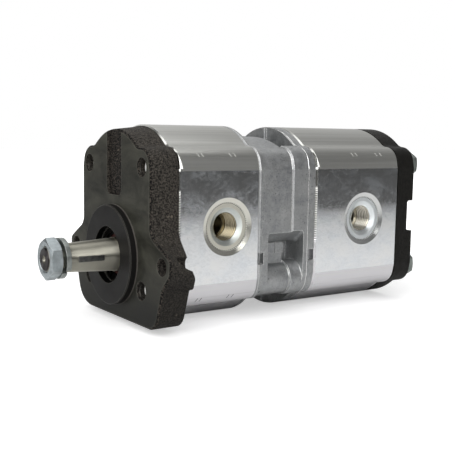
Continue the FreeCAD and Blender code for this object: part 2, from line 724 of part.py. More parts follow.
def cover_casting():
    """Front rim, low block with its stepped dome, collar with the dome gap, and rear rim."""
    step_x = MIDDLE_X + LOW_DOME_STEP_START
    collar = chamfered_prism(COLLAR_X, REAR_RIM_X, COLLAR_CHAMFER, 0, -COLLAR_INSET)
    gap_half = DOME_GAP_HALF_WIDTH
    for z_sign in (-1, 1):
        floor = CENTRE_Z + z_sign * (DOME_HEIGHT - DOME_GAP_DEPTH)
        ends = sorted((floor, CENTRE_Z + z_sign * (DOME_HEIGHT + OVERRUN)))
        gap = block(COLLAR_X - OVERRUN, REAR_RIM_X - DOME_GAP_WALL, -gap_half, gap_half, ends[0], ends[1])
        collar = collar.cut(gap)
    return join([
        chamfered_prism(MIDDLE_X, BLOCK_X, FRONT_RIM_CHAMFER, 0),
        prism(BLOCK_X, step_x, -BLOCK_INSET, LOW_DOME_DROP, LOW_DOME_DIP),
        prism(step_x, COLLAR_X, -BLOCK_INSET, LOW_DOME_DROP + LOW_DOME_STEP, LOW_DOME_DIP),
        collar,
        chamfered_prism(REAR_RIM_X, REAR_BODY_X, 0, REAR_RIM_CHAMFER),
    ])


def intermediate_cover():
    solid = cover_casting()
    extras = [dome_rib(-1), dome_rib(1)]
    surface = HALF_WIDTH - BLOCK_INSET
    for side in (-1, 1):
        pocket_end = REAR_RIM_X - POCKET_REAR_WALL
        solid = solid.cut(pocket(side, POCKET_X, COLLAR_X, POCKET_DEPTH, BLOCK_INSET, POCKET_X))
        solid = solid.cut(pocket(side, COLLAR_X, pocket_end, DEEP_POCKET_DEPTH, COLLAR_INSET, pocket_end))
        extras.extend(pocket_pads(side))
        extras.append(side_block(side, BLOCK_X - OVERRUN, BLOCK_X + SIDE_PAD_LENGTH, surface - OVERRUN,
                                 surface + SIDE_PAD_HEIGHT, SIDE_PAD_BOTTOM_Z, SIDE_PAD_TOP_Z))
    solid = join([solid] + extras)
    tools = []
    for side in (-1, 1):
        inner = HALF_WIDTH - PRY_NOTCH_DEPTH
        outer = HALF_WIDTH + OVERRUN
        for x0, x1 in ((MIDDLE_X - OVERRUN, MIDDLE_X + PRY_NOTCH_LENGTH),
                       (REAR_BODY_X - PRY_NOTCH_LENGTH, REAR_BODY_X + OVERRUN)):
            tools.append(side_block(side, x0, x1, inner, outer, PRY_NOTCH_BOTTOM_Z, PRY_NOTCH_TOP_Z))
    coupling_bore = COUPLING_RADIUS + COUPLING_CLEARANCE
    tools.append(rod(SHAFT_PASSAGE_RADIUS, MIDDLE_X - OVERRUN, REAR_BODY_X))
    tools.append(rod(coupling_bore, MIDDLE_X + COVER_WEB_THICKNESS, REAR_BODY_X + OVERRUN))
    tools.extend(bolt_holes(MIDDLE_X - OVERRUN, REAR_BODY_X + OVERRUN, BOLT_HOLE_RADIUS))
    tools.append(case_seal_groove(MIDDLE_X, 1))
    tools.append(case_seal_groove(REAR_BODY_X, -1))
    tools.extend(dowel_holes(MIDDLE_X, 1))
    tools.extend(dowel_holes(REAR_BODY_X, -1))
    for tool in tools:
        solid = solid.cut(tool)
    return solid


def rear_cover():
    solid = prism(REAR_COVER_X, BACK_X)
    slot = block(BACK_X - BACK_SLOT_DEPTH, BACK_X + 2 * BACK_SLOT_FILLET,
                 -HALF_WIDTH - OVERRUN, HALF_WIDTH + OVERRUN,
                 CENTRE_Z - BACK_SLOT_HALF_HEIGHT, CENTRE_Z + BACK_SLOT_HALF_HEIGHT)
    floor_x = BACK_X - BACK_SLOT_DEPTH
    low_edges = []
    for edge in slot.Edges:
        centre = edge.CenterOfMass
        if abs(centre.x - floor_x) < NEAR and abs(centre.y) < NEAR:
            low_edges.append(edge)
    solid = solid.cut(slot.makeFillet(BACK_SLOT_FILLET, low_edges))
    tools = bolt_holes(REAR_COVER_X - OVERRUN, BACK_X + OVERRUN, BOLT_HOLE_RADIUS)
    tools.append(case_seal_groove(REAR_COVER_X, 1))
    tools.extend(dowel_holes(REAR_COVER_X, 1))
    for tool in tools:
        solid = solid.cut(tool)
    return solid


def hexagon(x0, x1, across_flats, y=0.0, z=0.0):
    """Hexagonal prism along X with two flats facing sideways."""
    radius = across_flats / math.sqrt(3)
    points = []
    for i in range(7):
        angle = math.radians(90 + 60 * i)
        points.append(vec(x0, y + radius * math.cos(angle), z + radius * math.sin(angle)))
    return Part.Face(Part.makePolygon(points)).extrude(vec(x1 - x0, 0, 0))


def hex_with_chamfers(x0, x1, across_flats, y, z, front, rear):
    """Hexagon whose corners are turned off at its front face, its rear face or both."""
    inner = across_flats / 2 * HEX_FACE_SHARE
    outer = across_flats / math.sqrt(3) + OVERRUN
    run = (outer - inner) * HEX_CHAMFER_SLOPE
    profile = [rod(outer, x0 + (run if front else 0), x1 - (run if rear else 0), y, z)]
    if front:
        profile.append(cone(inner, outer, x0, x0 + run, y, z))
    if rear:
        profile.append(cone(outer, inner, x1 - run, x1, y, z))
    return hexagon(x0, x1, across_flats, y, z).common(join(profile))


def assembly_bolts():
    """Four long bolts whose heads bear on the rear cover and whose ends screw into the flange."""
    bolts = []
    for y, z in bolt_places():
        head = hex_with_chamfers(BACK_X, BACK_X + BOLT_HEAD_HEIGHT, BOLT_HEAD_ACROSS_FLATS, y, z, False, True)
        shank = rod(BOLT_RADIUS, BOLT_RECESS + BOLT_END_CHAMFER, BACK_X + OVERRUN, y, z)
        point = cone(BOLT_RADIUS - BOLT_END_CHAMFER, BOLT_RADIUS, BOLT_RECESS,
                     BOLT_RECESS + BOLT_END_CHAMFER, y, z)
        bolts.append(join([head, shank, point]))
    return bolts


def dowel_pins():
    pins = []
    for _, x, _ in CASE_JOINTS:
        for y in (-DOWEL_Y, DOWEL_Y):
            pins.append(rod(DOWEL_RADIUS, x - DOWEL_LENGTH / 2, x + DOWEL_LENGTH / 2, y, CENTRE_Z))
    return pins


def gear_angle_at(radius):
    """Half the angle that a tooth spans at a radius, from its own middle line."""
    alpha = math.radians(PRESSURE_ANGLE)
    half_at_pitch = (math.pi / 2 + 2 * PROFILE_SHIFT * math.tan(alpha)) / TEETH
    here = math.acos(min(1.0, BASE_RADIUS / radius))
    return half_at_pitch + involute(alpha) - involute(here) - TOOTH_THINNING


def gear_wire(x, phase):
    """Closed outline of the gear, with a tooth pointing up when the phase is zero."""
    flank_start = max(BASE_RADIUS, ROOT_RADIUS) + 0.01
    radii = [flank_start + (TIP_RADIUS - flank_start) * i / (FLANK_POINTS - 1) for i in range(FLANK_POINTS)]
    step = 2 * math.pi / TEETH

    def at(radius, angle):
        return vec(x, -radius * math.sin(angle), radius * math.cos(angle))

    edges = []
    for tooth in range(TEETH):
        middle = math.radians(phase) + tooth * step
        rising = [at(r, middle - gear_angle_at(r)) for r in radii]
        falling = [at(r, middle + gear_angle_at(r)) for r in reversed(radii)]
        half_root = gear_angle_at(flank_start)
        root_in = at(ROOT_RADIUS, middle - half_root)
        root_out = at(ROOT_RADIUS, middle + half_root)
        next_in = at(ROOT_RADIUS, middle + step - half_root)
        for points in (rising, falling):
            curve = Part.BSplineCurve()
            curve.interpolate(points)
            if points is rising:
                edges.append(line(root_in, points[0]))
                edges.append(curve.toShape())
                edges.append(arc(points[-1], at(TIP_RADIUS, middle), falling[0]))
            else:
                edges.append(curve.toShape())
                edges.append(line(points[-1], root_out))
        edges.append(arc(root_out, at(ROOT_RADIUS, middle + step / 2), next_in))
    return Part.Wire(edges)


def gear(x0, x1, phase, z):
    solid = Part.Face(gear_wire(x0, phase)).extrude(vec(x1 - x0, 0, 0))
    solid.translate(vec(0, 0, z))
    return solid


def chamber(x, length):
    """Ends of the gear in the body that starts at x."""
    x0 = x + FRONT_BLOCK_LENGTH + GEAR_SIDE_CLEARANCE
    x1 = x + length - REAR_BLOCK_LENGTH - GEAR_SIDE_CLEARANCE
    return x0, x1


def spline_wire(x, outer, inner, grow):
    """Outline of a straight-sided spline, grown for the space in its sleeve."""
    edges = []
    step = 2 * math.pi / SPLINE_TEETH
    high = outer + grow
    low = inner + grow
    half = step * SPLINE_TOOTH_SHARE / 2

    def at(radius, angle):
        return vec(x, radius * math.sin(angle), radius * math.cos(angle))

    def half_angle(radius):
        return half * high / radius + grow / radius

    for tooth in range(SPLINE_TEETH):
        middle = tooth * step
        a = at(low, middle - half_angle(low))
        b = at(high, middle - half_angle(high))
        c = at(high, middle + half_angle(high))
        d = at(low, middle + half_angle(low))
        following = at(low, middle + step - half_angle(low))
        edges.append(line(a, b))
        edges.append(arc(b, at(high, middle), c))
        edges.append(line(c, d))
        edges.append(arc(d, at(low, middle + step / 2), following))
    return Part.Wire(edges)


def spline(x0, x1, grow=0.0):
    wire = spline_wire(x0, SPLINE_OUTER_RADIUS, SPLINE_INNER_RADIUS, grow)
    return Part.Face(wire).extrude(vec(x1 - x0, 0, 0))


def coupling_ends():
    """Ends of the sleeve, and the middle of the gap between the two shaft stubs."""
    x0 = MIDDLE_X + COVER_WEB_THICKNESS + COUPLING_CLEARANCE
    return x0, x0 + COUPLING_LENGTH, x0 + COUPLING_LENGTH / 2


def taper_radius(x):
    return TAPER_LARGE_RADIUS - (TAPER_LARGE_X - x) / TAPER_RATIO / 2


def keyed_end():
    """Tapered and threaded front end of the drive shaft, as a revolved profile."""
    relief_x = TAPER_SMALL_X - THREAD_RELIEF_LENGTH
    profile = [
        (SHAFT_TIP_X, 0),
        (SHAFT_TIP_X, THREAD_RADIUS - THREAD_CHAMFER),
        (SHAFT_TIP_X + THREAD_CHAMFER, THREAD_RADIUS),
        (relief_x - THREAD_RADIUS + THREAD_RELIEF_RADIUS, THREAD_RADIUS),
        (relief_x, THREAD_RELIEF_RADIUS),
        (TAPER_SMALL_X, THREAD_RELIEF_RADIUS),
        (TAPER_SMALL_X, taper_radius(TAPER_SMALL_X)),
        (TAPER_LARGE_X, TAPER_LARGE_RADIUS),
        (TAPER_LARGE_X, JOURNAL_RADIUS),
        (FRONT_BODY_X, JOURNAL_RADIUS),
        (FRONT_BODY_X, 0),
    ]
    return turned(profile)


def key_top():
    """Distance of the key's flat top from the shaft axis."""
    return taper_radius(KEY_CENTRE_X) + KEY_STANDOUT


def key_disc():
    centre = vec(KEY_CENTRE_X, -key_top() - KEY_CUT_BELOW_CENTRE, -KEY_WIDTH / 2)
    return Part.makeCylinder(KEY_RADIUS, KEY_WIDTH, centre, vec(0, 0, 1))


def woodruff_key():
    reach = KEY_RADIUS + KEY_CUT_BELOW_CENTRE + OVERRUN
    keep = block(KEY_CENTRE_X - KEY_RADIUS - OVERRUN, KEY_CENTRE_X + KEY_RADIUS + OVERRUN,
                 -key_top(), -key_top() + reach, -KEY_WIDTH, KEY_WIDTH)
    return key_disc().common(keep)


def front_drive_gear():
    """Front gear in one piece with the drive shaft."""
    x0, x1 = chamber(FRONT_BODY_X, FRONT_BODY_LENGTH)
    end = MIDDLE_X - JOURNAL_END_GAP
    stub_end = coupling_ends()[2] - STUB_GAP / 2
    solid = join([
        keyed_end(),
        rod(JOURNAL_RADIUS, FRONT_BODY_X, x0),
        gear(x0, x1, 0, 0),
        rod(JOURNAL_RADIUS, x1, end),
        spline(end, stub_end),
    ])
    drill = cone(CENTRE_DRILL_RADIUS, 0, SHAFT_TIP_X, SHAFT_TIP_X + CENTRE_DRILL_DEPTH)
    return solid.cut(key_disc()).cut(drill)


def idler_gear(x, length):
    """Gear with a journal on each side, turned by half a tooth so that it meshes."""
    x0, x1 = chamber(x, length)
    z = CENTRE_DISTANCE
    return join([
        rod(JOURNAL_RADIUS, x + JOURNAL_END_GAP, x0, 0, z),
        gear(x0, x1, 180.0 / TEETH, z),
        rod(JOURNAL_RADIUS, x1, x + length - JOURNAL_END_GAP, 0, z),
    ])


def rear_drive_gear():
    x0, x1 = chamber(REAR_BODY_X, REAR_BODY_LENGTH)
    start = coupling_ends()[2] + STUB_GAP / 2
    journal = REAR_BODY_X + JOURNAL_END_GAP
    return join([
        spline(start, journal),
        rod(JOURNAL_RADIUS, journal, x0),
        gear(x0, x1, 0, 0),
        rod(JOURNAL_RADIUS, x1, REAR_COVER_X - JOURNAL_END_GAP),
    ])


def coupling_sleeve():
    x0, x1, _ = coupling_ends()
    return rod(COUPLING_RADIUS, x0, x1).cut(spline(x0 - OVERRUN, x1 + OVERRUN, SPLINE_CLEARANCE))


def seal_track(x0, x1, inner, outer):
    """Three-shaped ring in front of a bearing block, open towards the outlet side."""
    ring = figure_eight(x0, x1, outer).cut(figure_eight(x0 - OVERRUN, x1 + OVERRUN, inner))
    opening = block(x0 - OVERRUN, x1 + OVERRUN, -2 * outer, -BLOCK_SEAL_OPENING_Y,
                    -2 * outer, CENTRE_DISTANCE + 2 * outer)
    return ring.cut(opening)


def block_seal_parts(outer_x, side):
    """Pressure seal and backup ring in the outer face of a bearing block."""
    ends = sorted((outer_x, outer_x + side * BLOCK_SEAL_DEPTH))
    seal = seal_track(ends[0], ends[1], BLOCK_SEAL_RADIUS, BLOCK_SEAL_RADIUS + BLOCK_SEAL_WIDTH)
    backup = seal_track(ends[0], ends[1], BLOCK_SEAL_RADIUS - BACKUP_RING_WIDTH, BLOCK_SEAL_RADIUS)
    return seal, backup.cut(seal)


def bearing_block(x0, x1, outer_side):
    """Figure-eight bearing block; outer_side is -1 when its outer face is at x0."""
    solid = figure_eight(x0, x1, BLOCK_RADIUS)
    outer_x = x0 if outer_side < 0 else x1
    gear_x = x1 if outer_side < 0 else x0
    seal, backup = block_seal_parts(outer_x, -outer_side)
    relief = sorted((gear_x, gear_x + outer_side * RELIEF_DEPTH))
    tools = [seal, backup]
    for z in (0.0, CENTRE_DISTANCE):
        tools.append(rod(BUSH_RADIUS, x0 - OVERRUN, x1 + OVERRUN, 0, z))
    for side in (-1, 1):
        ends = sorted((side * RELIEF_START_Y, side * (RELIEF_START_Y + RELIEF_LENGTH)))
        tools.append(block(relief[0], relief[1], ends[0], ends[1],
                           CENTRE_Z - RELIEF_HEIGHT / 2, CENTRE_Z + RELIEF_HEIGHT / 2))
    for tool in tools:
        solid = solid.cut(tool)
    return solid


def turned(profile):
    """Solid of revolution about the drive shaft's axis through points (x, radius)."""
    points = [vec(x, 0, r) for x, r in profile]
    points.append(points[0])
    return Part.Face(Part.makePolygon(points)).revolve(vec(0, 0, 0), vec(1, 0, 0), 360)


def shaft_seal_case():
    """Pressed ring of L section."""
    x0 = SHAFT_SEAL_FRONT_X
    inner = SHAFT_SEAL_RADIUS - SEAL_CASE_WALL
    shell = tube(SHAFT_SEAL_RADIUS, inner, x0, x0 + SHAFT_SEAL_LENGTH)
    return join([shell, tube(inner, inner - SEAL_CASE_RIM, x0, x0 + SEAL_CASE_WALL)])


def shaft_seal_lip():
    """Rubber web with a dust lip in front and the sealing lip behind, just clear of the shaft."""
    x = SHAFT_SEAL_FRONT_X + SEAL_CASE_WALL
    seat = SHAFT_SEAL_RADIUS - SEAL_CASE_WALL
    bore = JOURNAL_RADIUS + SEAL_LIP_CLEARANCE
    relief = bore + SEAL_LIP_RELIEF
    web_x = x + SEAL_WEB_THICKNESS
    end_x = x + SEAL_LIP_END_X
    return turned([
        (x, seat),
        (x, relief),
        (x + SEAL_LIP_EDGE, bore),
        (web_x - SEAL_LIP_EDGE, bore),
        (web_x, relief),
        (x + SEAL_LIP_X, bore),
        (x + SEAL_LIP_X + SEAL_LIP_EDGE, bore),
        (end_x, relief),
        (end_x, relief + SEAL_LIP_THICKNESS),
        (web_x, relief + SEAL_LIP_THICKNESS),
        (web_x, seat),
    ])


def garter_spring():
    """Ring of wire that lies on the back of the sealing lip."""
    middle = SHAFT_SEAL_FRONT_X + SEAL_CASE_WALL + SEAL_LIP_X + SEAL_LIP_EDGE
    lip_back = JOURNAL_RADIUS + SEAL_LIP_CLEARANCE + SEAL_LIP_RELIEF + SEAL_LIP_THICKNESS
    centre = lip_back + GARTER_WIRE_RADIUS
    reach = GARTER_WIRE_RADIUS / math.cos(math.pi / GARTER_WIRE_SIDES)
    section = []
    for i in range(GARTER_WIRE_SIDES):
        angle = 2 * math.pi * (i + 0.5) / GARTER_WIRE_SIDES
        section.append((middle + reach * math.cos(angle), centre + reach * math.sin(angle)))
    return turned(section)


def retaining_ring():
    """Internal retaining ring with two eyes, gap at the bottom."""
    x0 = SHAFT_SEAL_FRONT_X - RETAINING_RING_THICKNESS
    x1 = SHAFT_SEAL_FRONT_X
    ring = tube(RETAINING_RING_RADIUS, RETAINING_RING_BORE, x0, x1)
    half = math.radians(RETAINING_RING_GAP_ANGLE / 2)
    reach = 2 * RETAINING_RING_RADIUS
    wedge = [
        vec(x0 - OVERRUN, 0, 0),
        vec(x0 - OVERRUN, -reach * math.sin(half), -reach * math.cos(half)),
        vec(x0 - OVERRUN, reach * math.sin(half), -reach * math.cos(half)),
        vec(x0 - OVERRUN, 0, 0),
    ]
    gap = Part.Face(Part.makePolygon(wedge)).extrude(vec(RETAINING_RING_THICKNESS + 2 * OVERRUN, 0, 0))
    ring = ring.cut(gap)
    place = RETAINING_RING_BORE + RING_EYE_OFFSET
    for side in (-1, 1):
        turn = half + math.radians(RING_EYE_TURN)
        y = side * place * math.sin(turn)
        z = -place * math.cos(turn)
        eye = rod(RING_EYE_RADIUS, x0, x1, y, z).common(rod(RETAINING_RING_RADIUS, x0, x1))
        ring = ring.fuse(eye).cut(rod(RING_EYE_HOLE_RADIUS, x0 - OVERRUN, x1 + OVERRUN, y, z))
    return ring.removeSplitter()


def shaft_nut():
    x1 = NUT_FRONT_X + NUT_THICKNESS
    body = hex_with_chamfers(NUT_FRONT_X, x1, NUT_ACROSS_FLATS, 0, 0, True, True)
    body = body.cut(rod(THREAD_RADIUS, NUT_FRONT_X - OVERRUN, x1 + OVERRUN))
    mouth = cone(THREAD_RADIUS + THREAD_CHAMFER, THREAD_RADIUS, NUT_FRONT_X, NUT_FRONT_X + THREAD_CHAMFER)
    return body.cut(mouth)


def lock_washer():
    """Split spring washer: a square-section turn of a helix between the nut and the taper's end."""
    x0 = NUT_FRONT_X + NUT_THICKNESS
    x1 = TAPER_SMALL_X
    turn = 360 - WASHER_GAP_ANGLE
    rise = (x1 - x0 - WASHER_THICKNESS) * 360 / turn
    sections = []
    for i in range(WASHER_SECTIONS + 1):
        share = i / WASHER_SECTIONS
        angle = math.radians(WASHER_GAP_DIRECTION + WASHER_GAP_ANGLE / 2 + turn * share)
        start = x0 + rise * turn / 360 * share
        corners = [(start, WASHER_BORE_RADIUS), (start, WASHER_RADIUS),
                   (start + WASHER_THICKNESS, WASHER_RADIUS), (start + WASHER_THICKNESS, WASHER_BORE_RADIUS)]
        points = [vec(x, r * math.cos(angle), r * math.sin(angle)) for x, r in corners]
        points.append(points[0])
        sections.append(Part.makePolygon(points))
    return Part.makeLoft(sections, True, False)


def export(name, shapes):
    solids = shapes if isinstance(shapes, list) else [shapes]
    shape = solids[0] if len(solids) == 1 else Part.makeCompound(solids)
    if not shape.isValid():
        print("not valid:", name)
    shape.exportStep(os.path.join("parts", name + ".step"))
    count = len(shape.Solids)
    print(f"{name}: {count} solid(s), volume {shape.Volume:.1f}, valid {shape.isValid()}")


def export_stage(name, x, length, chamfer):
    """Body, bearing blocks, bushes and block seals of one stage."""
    export(name + "_body", pump_body(x, length, chamfer))
    ends = (("front", x, x + FRONT_BLOCK_LENGTH, -1),
            ("rear", x + length - REAR_BLOCK_LENGTH, x + length, 1))
    for place, x0, x1, outer_side in ends:
        label = f"{name}_stage_{place}"
        export(label + "_bearing_block", bearing_block(x0, x1, outer_side))
        bushes = []
        for z in (0.0, CENTRE_DISTANCE):
            bore = JOURNAL_RADIUS + JOURNAL_CLEARANCE
            bushes.append(tube(BUSH_RADIUS, bore, x0 + BUSH_END_GAP, x1 - BUSH_END_GAP, 0, z))
        export(label + "_bushes", bushes)
        seal, backup = block_seal_parts(x0 if outer_side < 0 else x1, -outer_side)
        export(label + "_pressure_seal", seal)
        export(label + "_backup_ring", backup)


def main():
    os.makedirs("parts", exist_ok=True)
    export("front_flange", front_flange())
    export("intermediate_cover", intermediate_cover())
    export("rear_cover", rear_cover())
    export("assembly_bolts", assembly_bolts())
    export("dowel_pins", dowel_pins())
    for name, x, side in CASE_JOINTS:
        export(name + "_case_seal", case_seal(x, side))
    for name, x, length, chamfer in STAGES:
        export_stage(name, x, length, chamfer)
    export("front_drive_gear", front_drive_gear())
    export("front_idler_gear", idler_gear(FRONT_BODY_X, FRONT_BODY_LENGTH))
    export("rear_drive_gear", rear_drive_gear())
    export("rear_idler_gear", idler_gear(REAR_BODY_X, REAR_BODY_LENGTH))
    export("coupling_sleeve", coupling_sleeve())
    export("woodruff_key", woodruff_key())
    export("shaft_nut", shaft_nut())
    export("lock_washer", lock_washer())
    export("shaft_seal_case", shaft_seal_case())
    export("shaft_seal_lip", shaft_seal_lip())
    export("seal_garter_spring", garter_spring())
    export("seal_retaining_ring", retaining_ring())


main()
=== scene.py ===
import json
import math

import bpy
from mathutils import Matrix, Vector


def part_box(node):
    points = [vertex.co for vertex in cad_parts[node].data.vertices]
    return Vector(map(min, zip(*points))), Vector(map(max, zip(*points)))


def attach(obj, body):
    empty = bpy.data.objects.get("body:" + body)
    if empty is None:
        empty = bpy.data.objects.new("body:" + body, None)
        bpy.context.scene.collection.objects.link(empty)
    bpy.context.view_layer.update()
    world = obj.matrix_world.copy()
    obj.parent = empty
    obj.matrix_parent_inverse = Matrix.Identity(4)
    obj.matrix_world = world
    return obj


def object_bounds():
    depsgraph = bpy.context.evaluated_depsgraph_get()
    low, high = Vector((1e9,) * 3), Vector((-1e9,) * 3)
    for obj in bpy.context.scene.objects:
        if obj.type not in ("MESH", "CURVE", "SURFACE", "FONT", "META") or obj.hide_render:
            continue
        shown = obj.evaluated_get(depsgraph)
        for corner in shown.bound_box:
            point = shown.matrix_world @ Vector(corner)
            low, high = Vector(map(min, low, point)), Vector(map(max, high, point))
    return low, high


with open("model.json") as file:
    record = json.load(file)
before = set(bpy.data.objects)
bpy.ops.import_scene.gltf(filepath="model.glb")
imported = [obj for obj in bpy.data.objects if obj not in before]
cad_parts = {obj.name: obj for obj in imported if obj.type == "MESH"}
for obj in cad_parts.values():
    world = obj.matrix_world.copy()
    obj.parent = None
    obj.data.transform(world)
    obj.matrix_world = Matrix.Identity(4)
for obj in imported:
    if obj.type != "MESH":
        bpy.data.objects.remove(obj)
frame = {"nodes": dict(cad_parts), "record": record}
cad_low, cad_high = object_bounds()
mounts = {mount["name"]: mount for mount in frame["record"]["mounts"]}
front_body_low, front_body_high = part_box("front_body")
rear_body_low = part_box("rear_body")[0]
cover_low, cover_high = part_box("intermediate_cover")
shaft_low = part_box("front_drive_gear")[0]

MM = 0.001
BEVEL_SAMPLES = 6
QUARTER_TURN = 0.25

# Camera, fitted to the photograph's 455 by 455 pixels
IMAGE_SIZE = 455
SENSOR_WIDTH = 36.0
FOCAL_PIXELS = 811.46
CENTRE_PIXEL = (227.448, 229.779)
CAMERA_PLACE = (-0.213886, -0.425086, 0.071516)
CAMERA_AZIMUTH = -34.724
CAMERA_ELEVATION = 6.795
CAMERA_ROLL = 0.930
CAMERA_NEAR = 0.01

# Outline of the bodies across the pump: middle, flat sides and the arcs of the corners
CENTRE_Z = (front_body_low.z + front_body_high.z) / 2
HALF_WIDTH = front_body_high.y
CORNER_Y = 32.1 * MM
CORNER_RISE = 35.0 * MM
CORNER_RADIUS = 11.1 * MM
CORNER_Z = CENTRE_Z + CORNER_RISE

# Lengths over which one finish turns into the next
HAIR_FADE = 0.05 * MM
SHARP_FADE = 0.1 * MM
FINE_FADE = 0.2 * MM
SOFT_FADE = 0.3 * MM

# Flange: the machined face lies at x = 0, and within a margin the pilot starts before it and the cast skin
# behind it. Painted shade darkens the face and the sides from the first height to the second
FACE_MARGIN = (0.1 * MM, 0.3 * MM)
PILOT_RADIUS = mounts["pilot"]["dims"]["r_mm"] * MM
# Band in x and radii where a light line is painted round the pilot's root as a highlight
PILOT_ROOT = (-0.75 * MM, -0.05 * MM)
PILOT_ROOT_RADII = (PILOT_RADIUS - 1.3 * MM, PILOT_RADIUS - 0.3 * MM)
# Inside this radius the bore is painted near black as shade
FLANGE_BORE_RADIUS = 17.0 * MM
FLANGE_TURNING_PITCH = 0.35 * MM
# Heights over which painted shade darkens the face, then the sides, towards the bottom
LOW_FACE_SHADE_Z = (-2.0 * MM, -28.0 * MM)
LOW_SIDE_SHADE_Z = (5.0 * MM, -12.0 * MM)

# Turned ports of the bodies: steps outwards from the bore, dots round the spot face and a faint halo on the
# milled side round the rim
PORT_MOUTH_WIDTH = 3.1 * MM
PORT_FLOOR_MARGIN = 5.7 * MM
PORT_RIM_MARGIN = 8.7 * MM
PORT_TURNING_PITCH = 0.55 * MM
PORT_DOTS = 64
PORT_DOT_REACH = 0.35 * MM
HALO_START = 0.6 * MM
HALO_END = 3.2 * MM
HALO_FADE = 0.8 * MM

# Front chamfer of the bodies, with a cutter's chatter over a range of heights and filed patches at the upper
# corners, and the height over which the lower shoulders turn paler with a painted reflection of the white
# table
CHAMFER_END = (1.4 * MM, 1.0 * MM)
CHATTER_PITCH = 1.4 * MM
CHATTER_Z = (8.0 * MM, 36.0 * MM)
CHATTER_FADE = 4.0 * MM
FILED_WIDTH = 2.6 * MM
FILED_SLOPE = 36.0
FILED_LEAN = 0.22
FILED_BELOW_CORNER = 1.0 * MM
FILED_ABOVE_CORNER = 7.5 * MM
FILED_FADE = 0.5 * MM
LOW_SHOULDER_REFLECTION_FADE = 10.0 * MM

# Pry notches at both ends of the intermediate cover: length, heights and depths between which shade is
# painted in them
NOTCH_LENGTH = 4.8 * MM
NOTCH_Z = (-24.0 * MM, -17.0 * MM)
NOTCH_SHADE_DEPTHS = (4.0 * MM, 4.6 * MM)

# Assembly bolts, whose ends show a little way down the flange's tapped holes
BOLT_RADIUS = 5.05 * MM
BOLT_RECESS = 4.5 * MM
BOLT_END_FADE = (1.2 * MM, 0.2 * MM)
BOLT_SPACING_Y = 66.1 * MM
BOLT_SPACING_Z = 68.8 * MM

# Threaded end of the drive shaft, with a bright centre hole
SHAFT_THREAD_END = (shaft_low.x + 1.0 * MM, shaft_low.x + 0.5 * MM)
CENTRE_HOLE_EDGE = (1.6 * MM, 2.4 * MM)

# Modelled threads: each point of the ridge has a share of the pitch and a share of the height
THREAD_PITCH = 1.5 * MM
THREAD_STEPS = 40
THREAD_PROFILE = ((-0.42, 0.0), (-0.09, 1.0), (0.09, 1.0), (0.42, 0.0))
THREAD_ROOT_DEPTH = 0.05 * MM
PORT_THREAD_START = 3.0 * MM
PORT_THREAD_BOTTOM = 0.8 * MM
PORT_THREAD_MARGIN = 1.2 * MM
PORT_THREAD_HEIGHT = 0.8 * MM
HOLE_THREAD_START = 0.9 * MM
HOLE_THREAD_MARGIN = 1.8 * MM
HOLE_THREAD_HEIGHT = 0.3 * MM

# Pairs of short slanted marks on the corners of the bodies: start behind the body's front and spacing
FRONT_MARKS = ((13.1 * MM, 2.7 * MM), (34.8 * MM, 3.2 * MM))
REAR_MARKS = ((31.1 * MM, 3.4 * MM), (52.1 * MM, 4.1 * MM))
MARK_ANGLE = 35.0
MARK_LENGTH = 2.6 * MM
MARK_WIDTH = 0.45 * MM
MARK_LEAN = 1.1 * MM
MARK_HEIGHT = 0.02 * MM
MARK_STEPS = 4
MARK_RING = ((0, -1), (1, -1), (1, 1), (0, 1))

# Colours of the flange, where a pair goes from its dark spots to its light ones
SIDE_COLOURS = ((0.010, 0.009, 0.0078), (0.080, 0.071, 0.060))
LOW_SIDE_SHADE_COLOUR = (0.008, 0.0075, 0.0065)
# Painted shade on the slot's floor, from its dark spots to its light ones
SLOT_SHADE_COLOURS = ((0.0008, 0.0007, 0.0006), (0.062, 0.053, 0.044))
FLECK_COLOUR = (0.30, 0.25, 0.20)
FACE_COLOURS = ((0.010, 0.010, 0.0075), (0.056, 0.055, 0.044))
LOW_FACE_SHADE_COLOUR = (0.009, 0.009, 0.008)
PILOT_COLOUR = (0.009, 0.0085, 0.008)
PILOT_ROOT_HIGHLIGHT_COLOUR = (0.085, 0.078, 0.07)
FLANGE_BORE_SHADE_COLOUR = (0.002, 0.002, 0.002)
WORN_AND_HIGHLIGHT_IRON_COLOUR = (0.13, 0.125, 0.11)

# Colours of the bodies and their ports, where a port has those of its rim, spot face, mouth and bore
SHOULDER_COLOURS = ((0.56, 0.56, 0.53), (0.70, 0.70, 0.67))
LOW_SHOULDER_REFLECTION_COLOUR = (0.80, 0.79, 0.81)
LIGHT_LINE_COLOUR = (0.84, 0.84, 0.81)
DARK_LINE_COLOUR = (0.40, 0.40, 0.37)
MILLED_COLOURS = ((0.84, 0.845, 0.84), (0.78, 0.81, 0.84))
CHATTER_SHADE_COLOUR = (0.10, 0.10, 0.09)
DOT_SHADE_COLOUR = (0.06, 0.06, 0.05)
FRONT_PORT_COLOURS = ((0.74, 0.73, 0.66), (0.90, 0.88, 0.78), (0.66, 0.69, 0.66), (0.40, 0.35, 0.24))
REAR_PORT_COLOURS = ((0.74, 0.75, 0.74), (0.95, 0.99, 1.0), (0.92, 0.96, 0.97), (0.66, 0.63, 0.55))

# Colours of the intermediate cover
COVER_COLOURS = ((0.33, 0.34, 0.35), (0.48, 0.485, 0.48))
COVER_FLOW_COLOUR = (0.58, 0.585, 0.59)
COVER_GRAIN_COLOUR = (0.20, 0.205, 0.21)
COVER_PIT_COLOUR = (0.12, 0.12, 0.12)
COVER_EDGE_WEAR_AND_HIGHLIGHT_COLOUR = (0.95, 0.95, 0.93)
NOTCH_SHADE_COLOUR = (0.07, 0.068, 0.062)

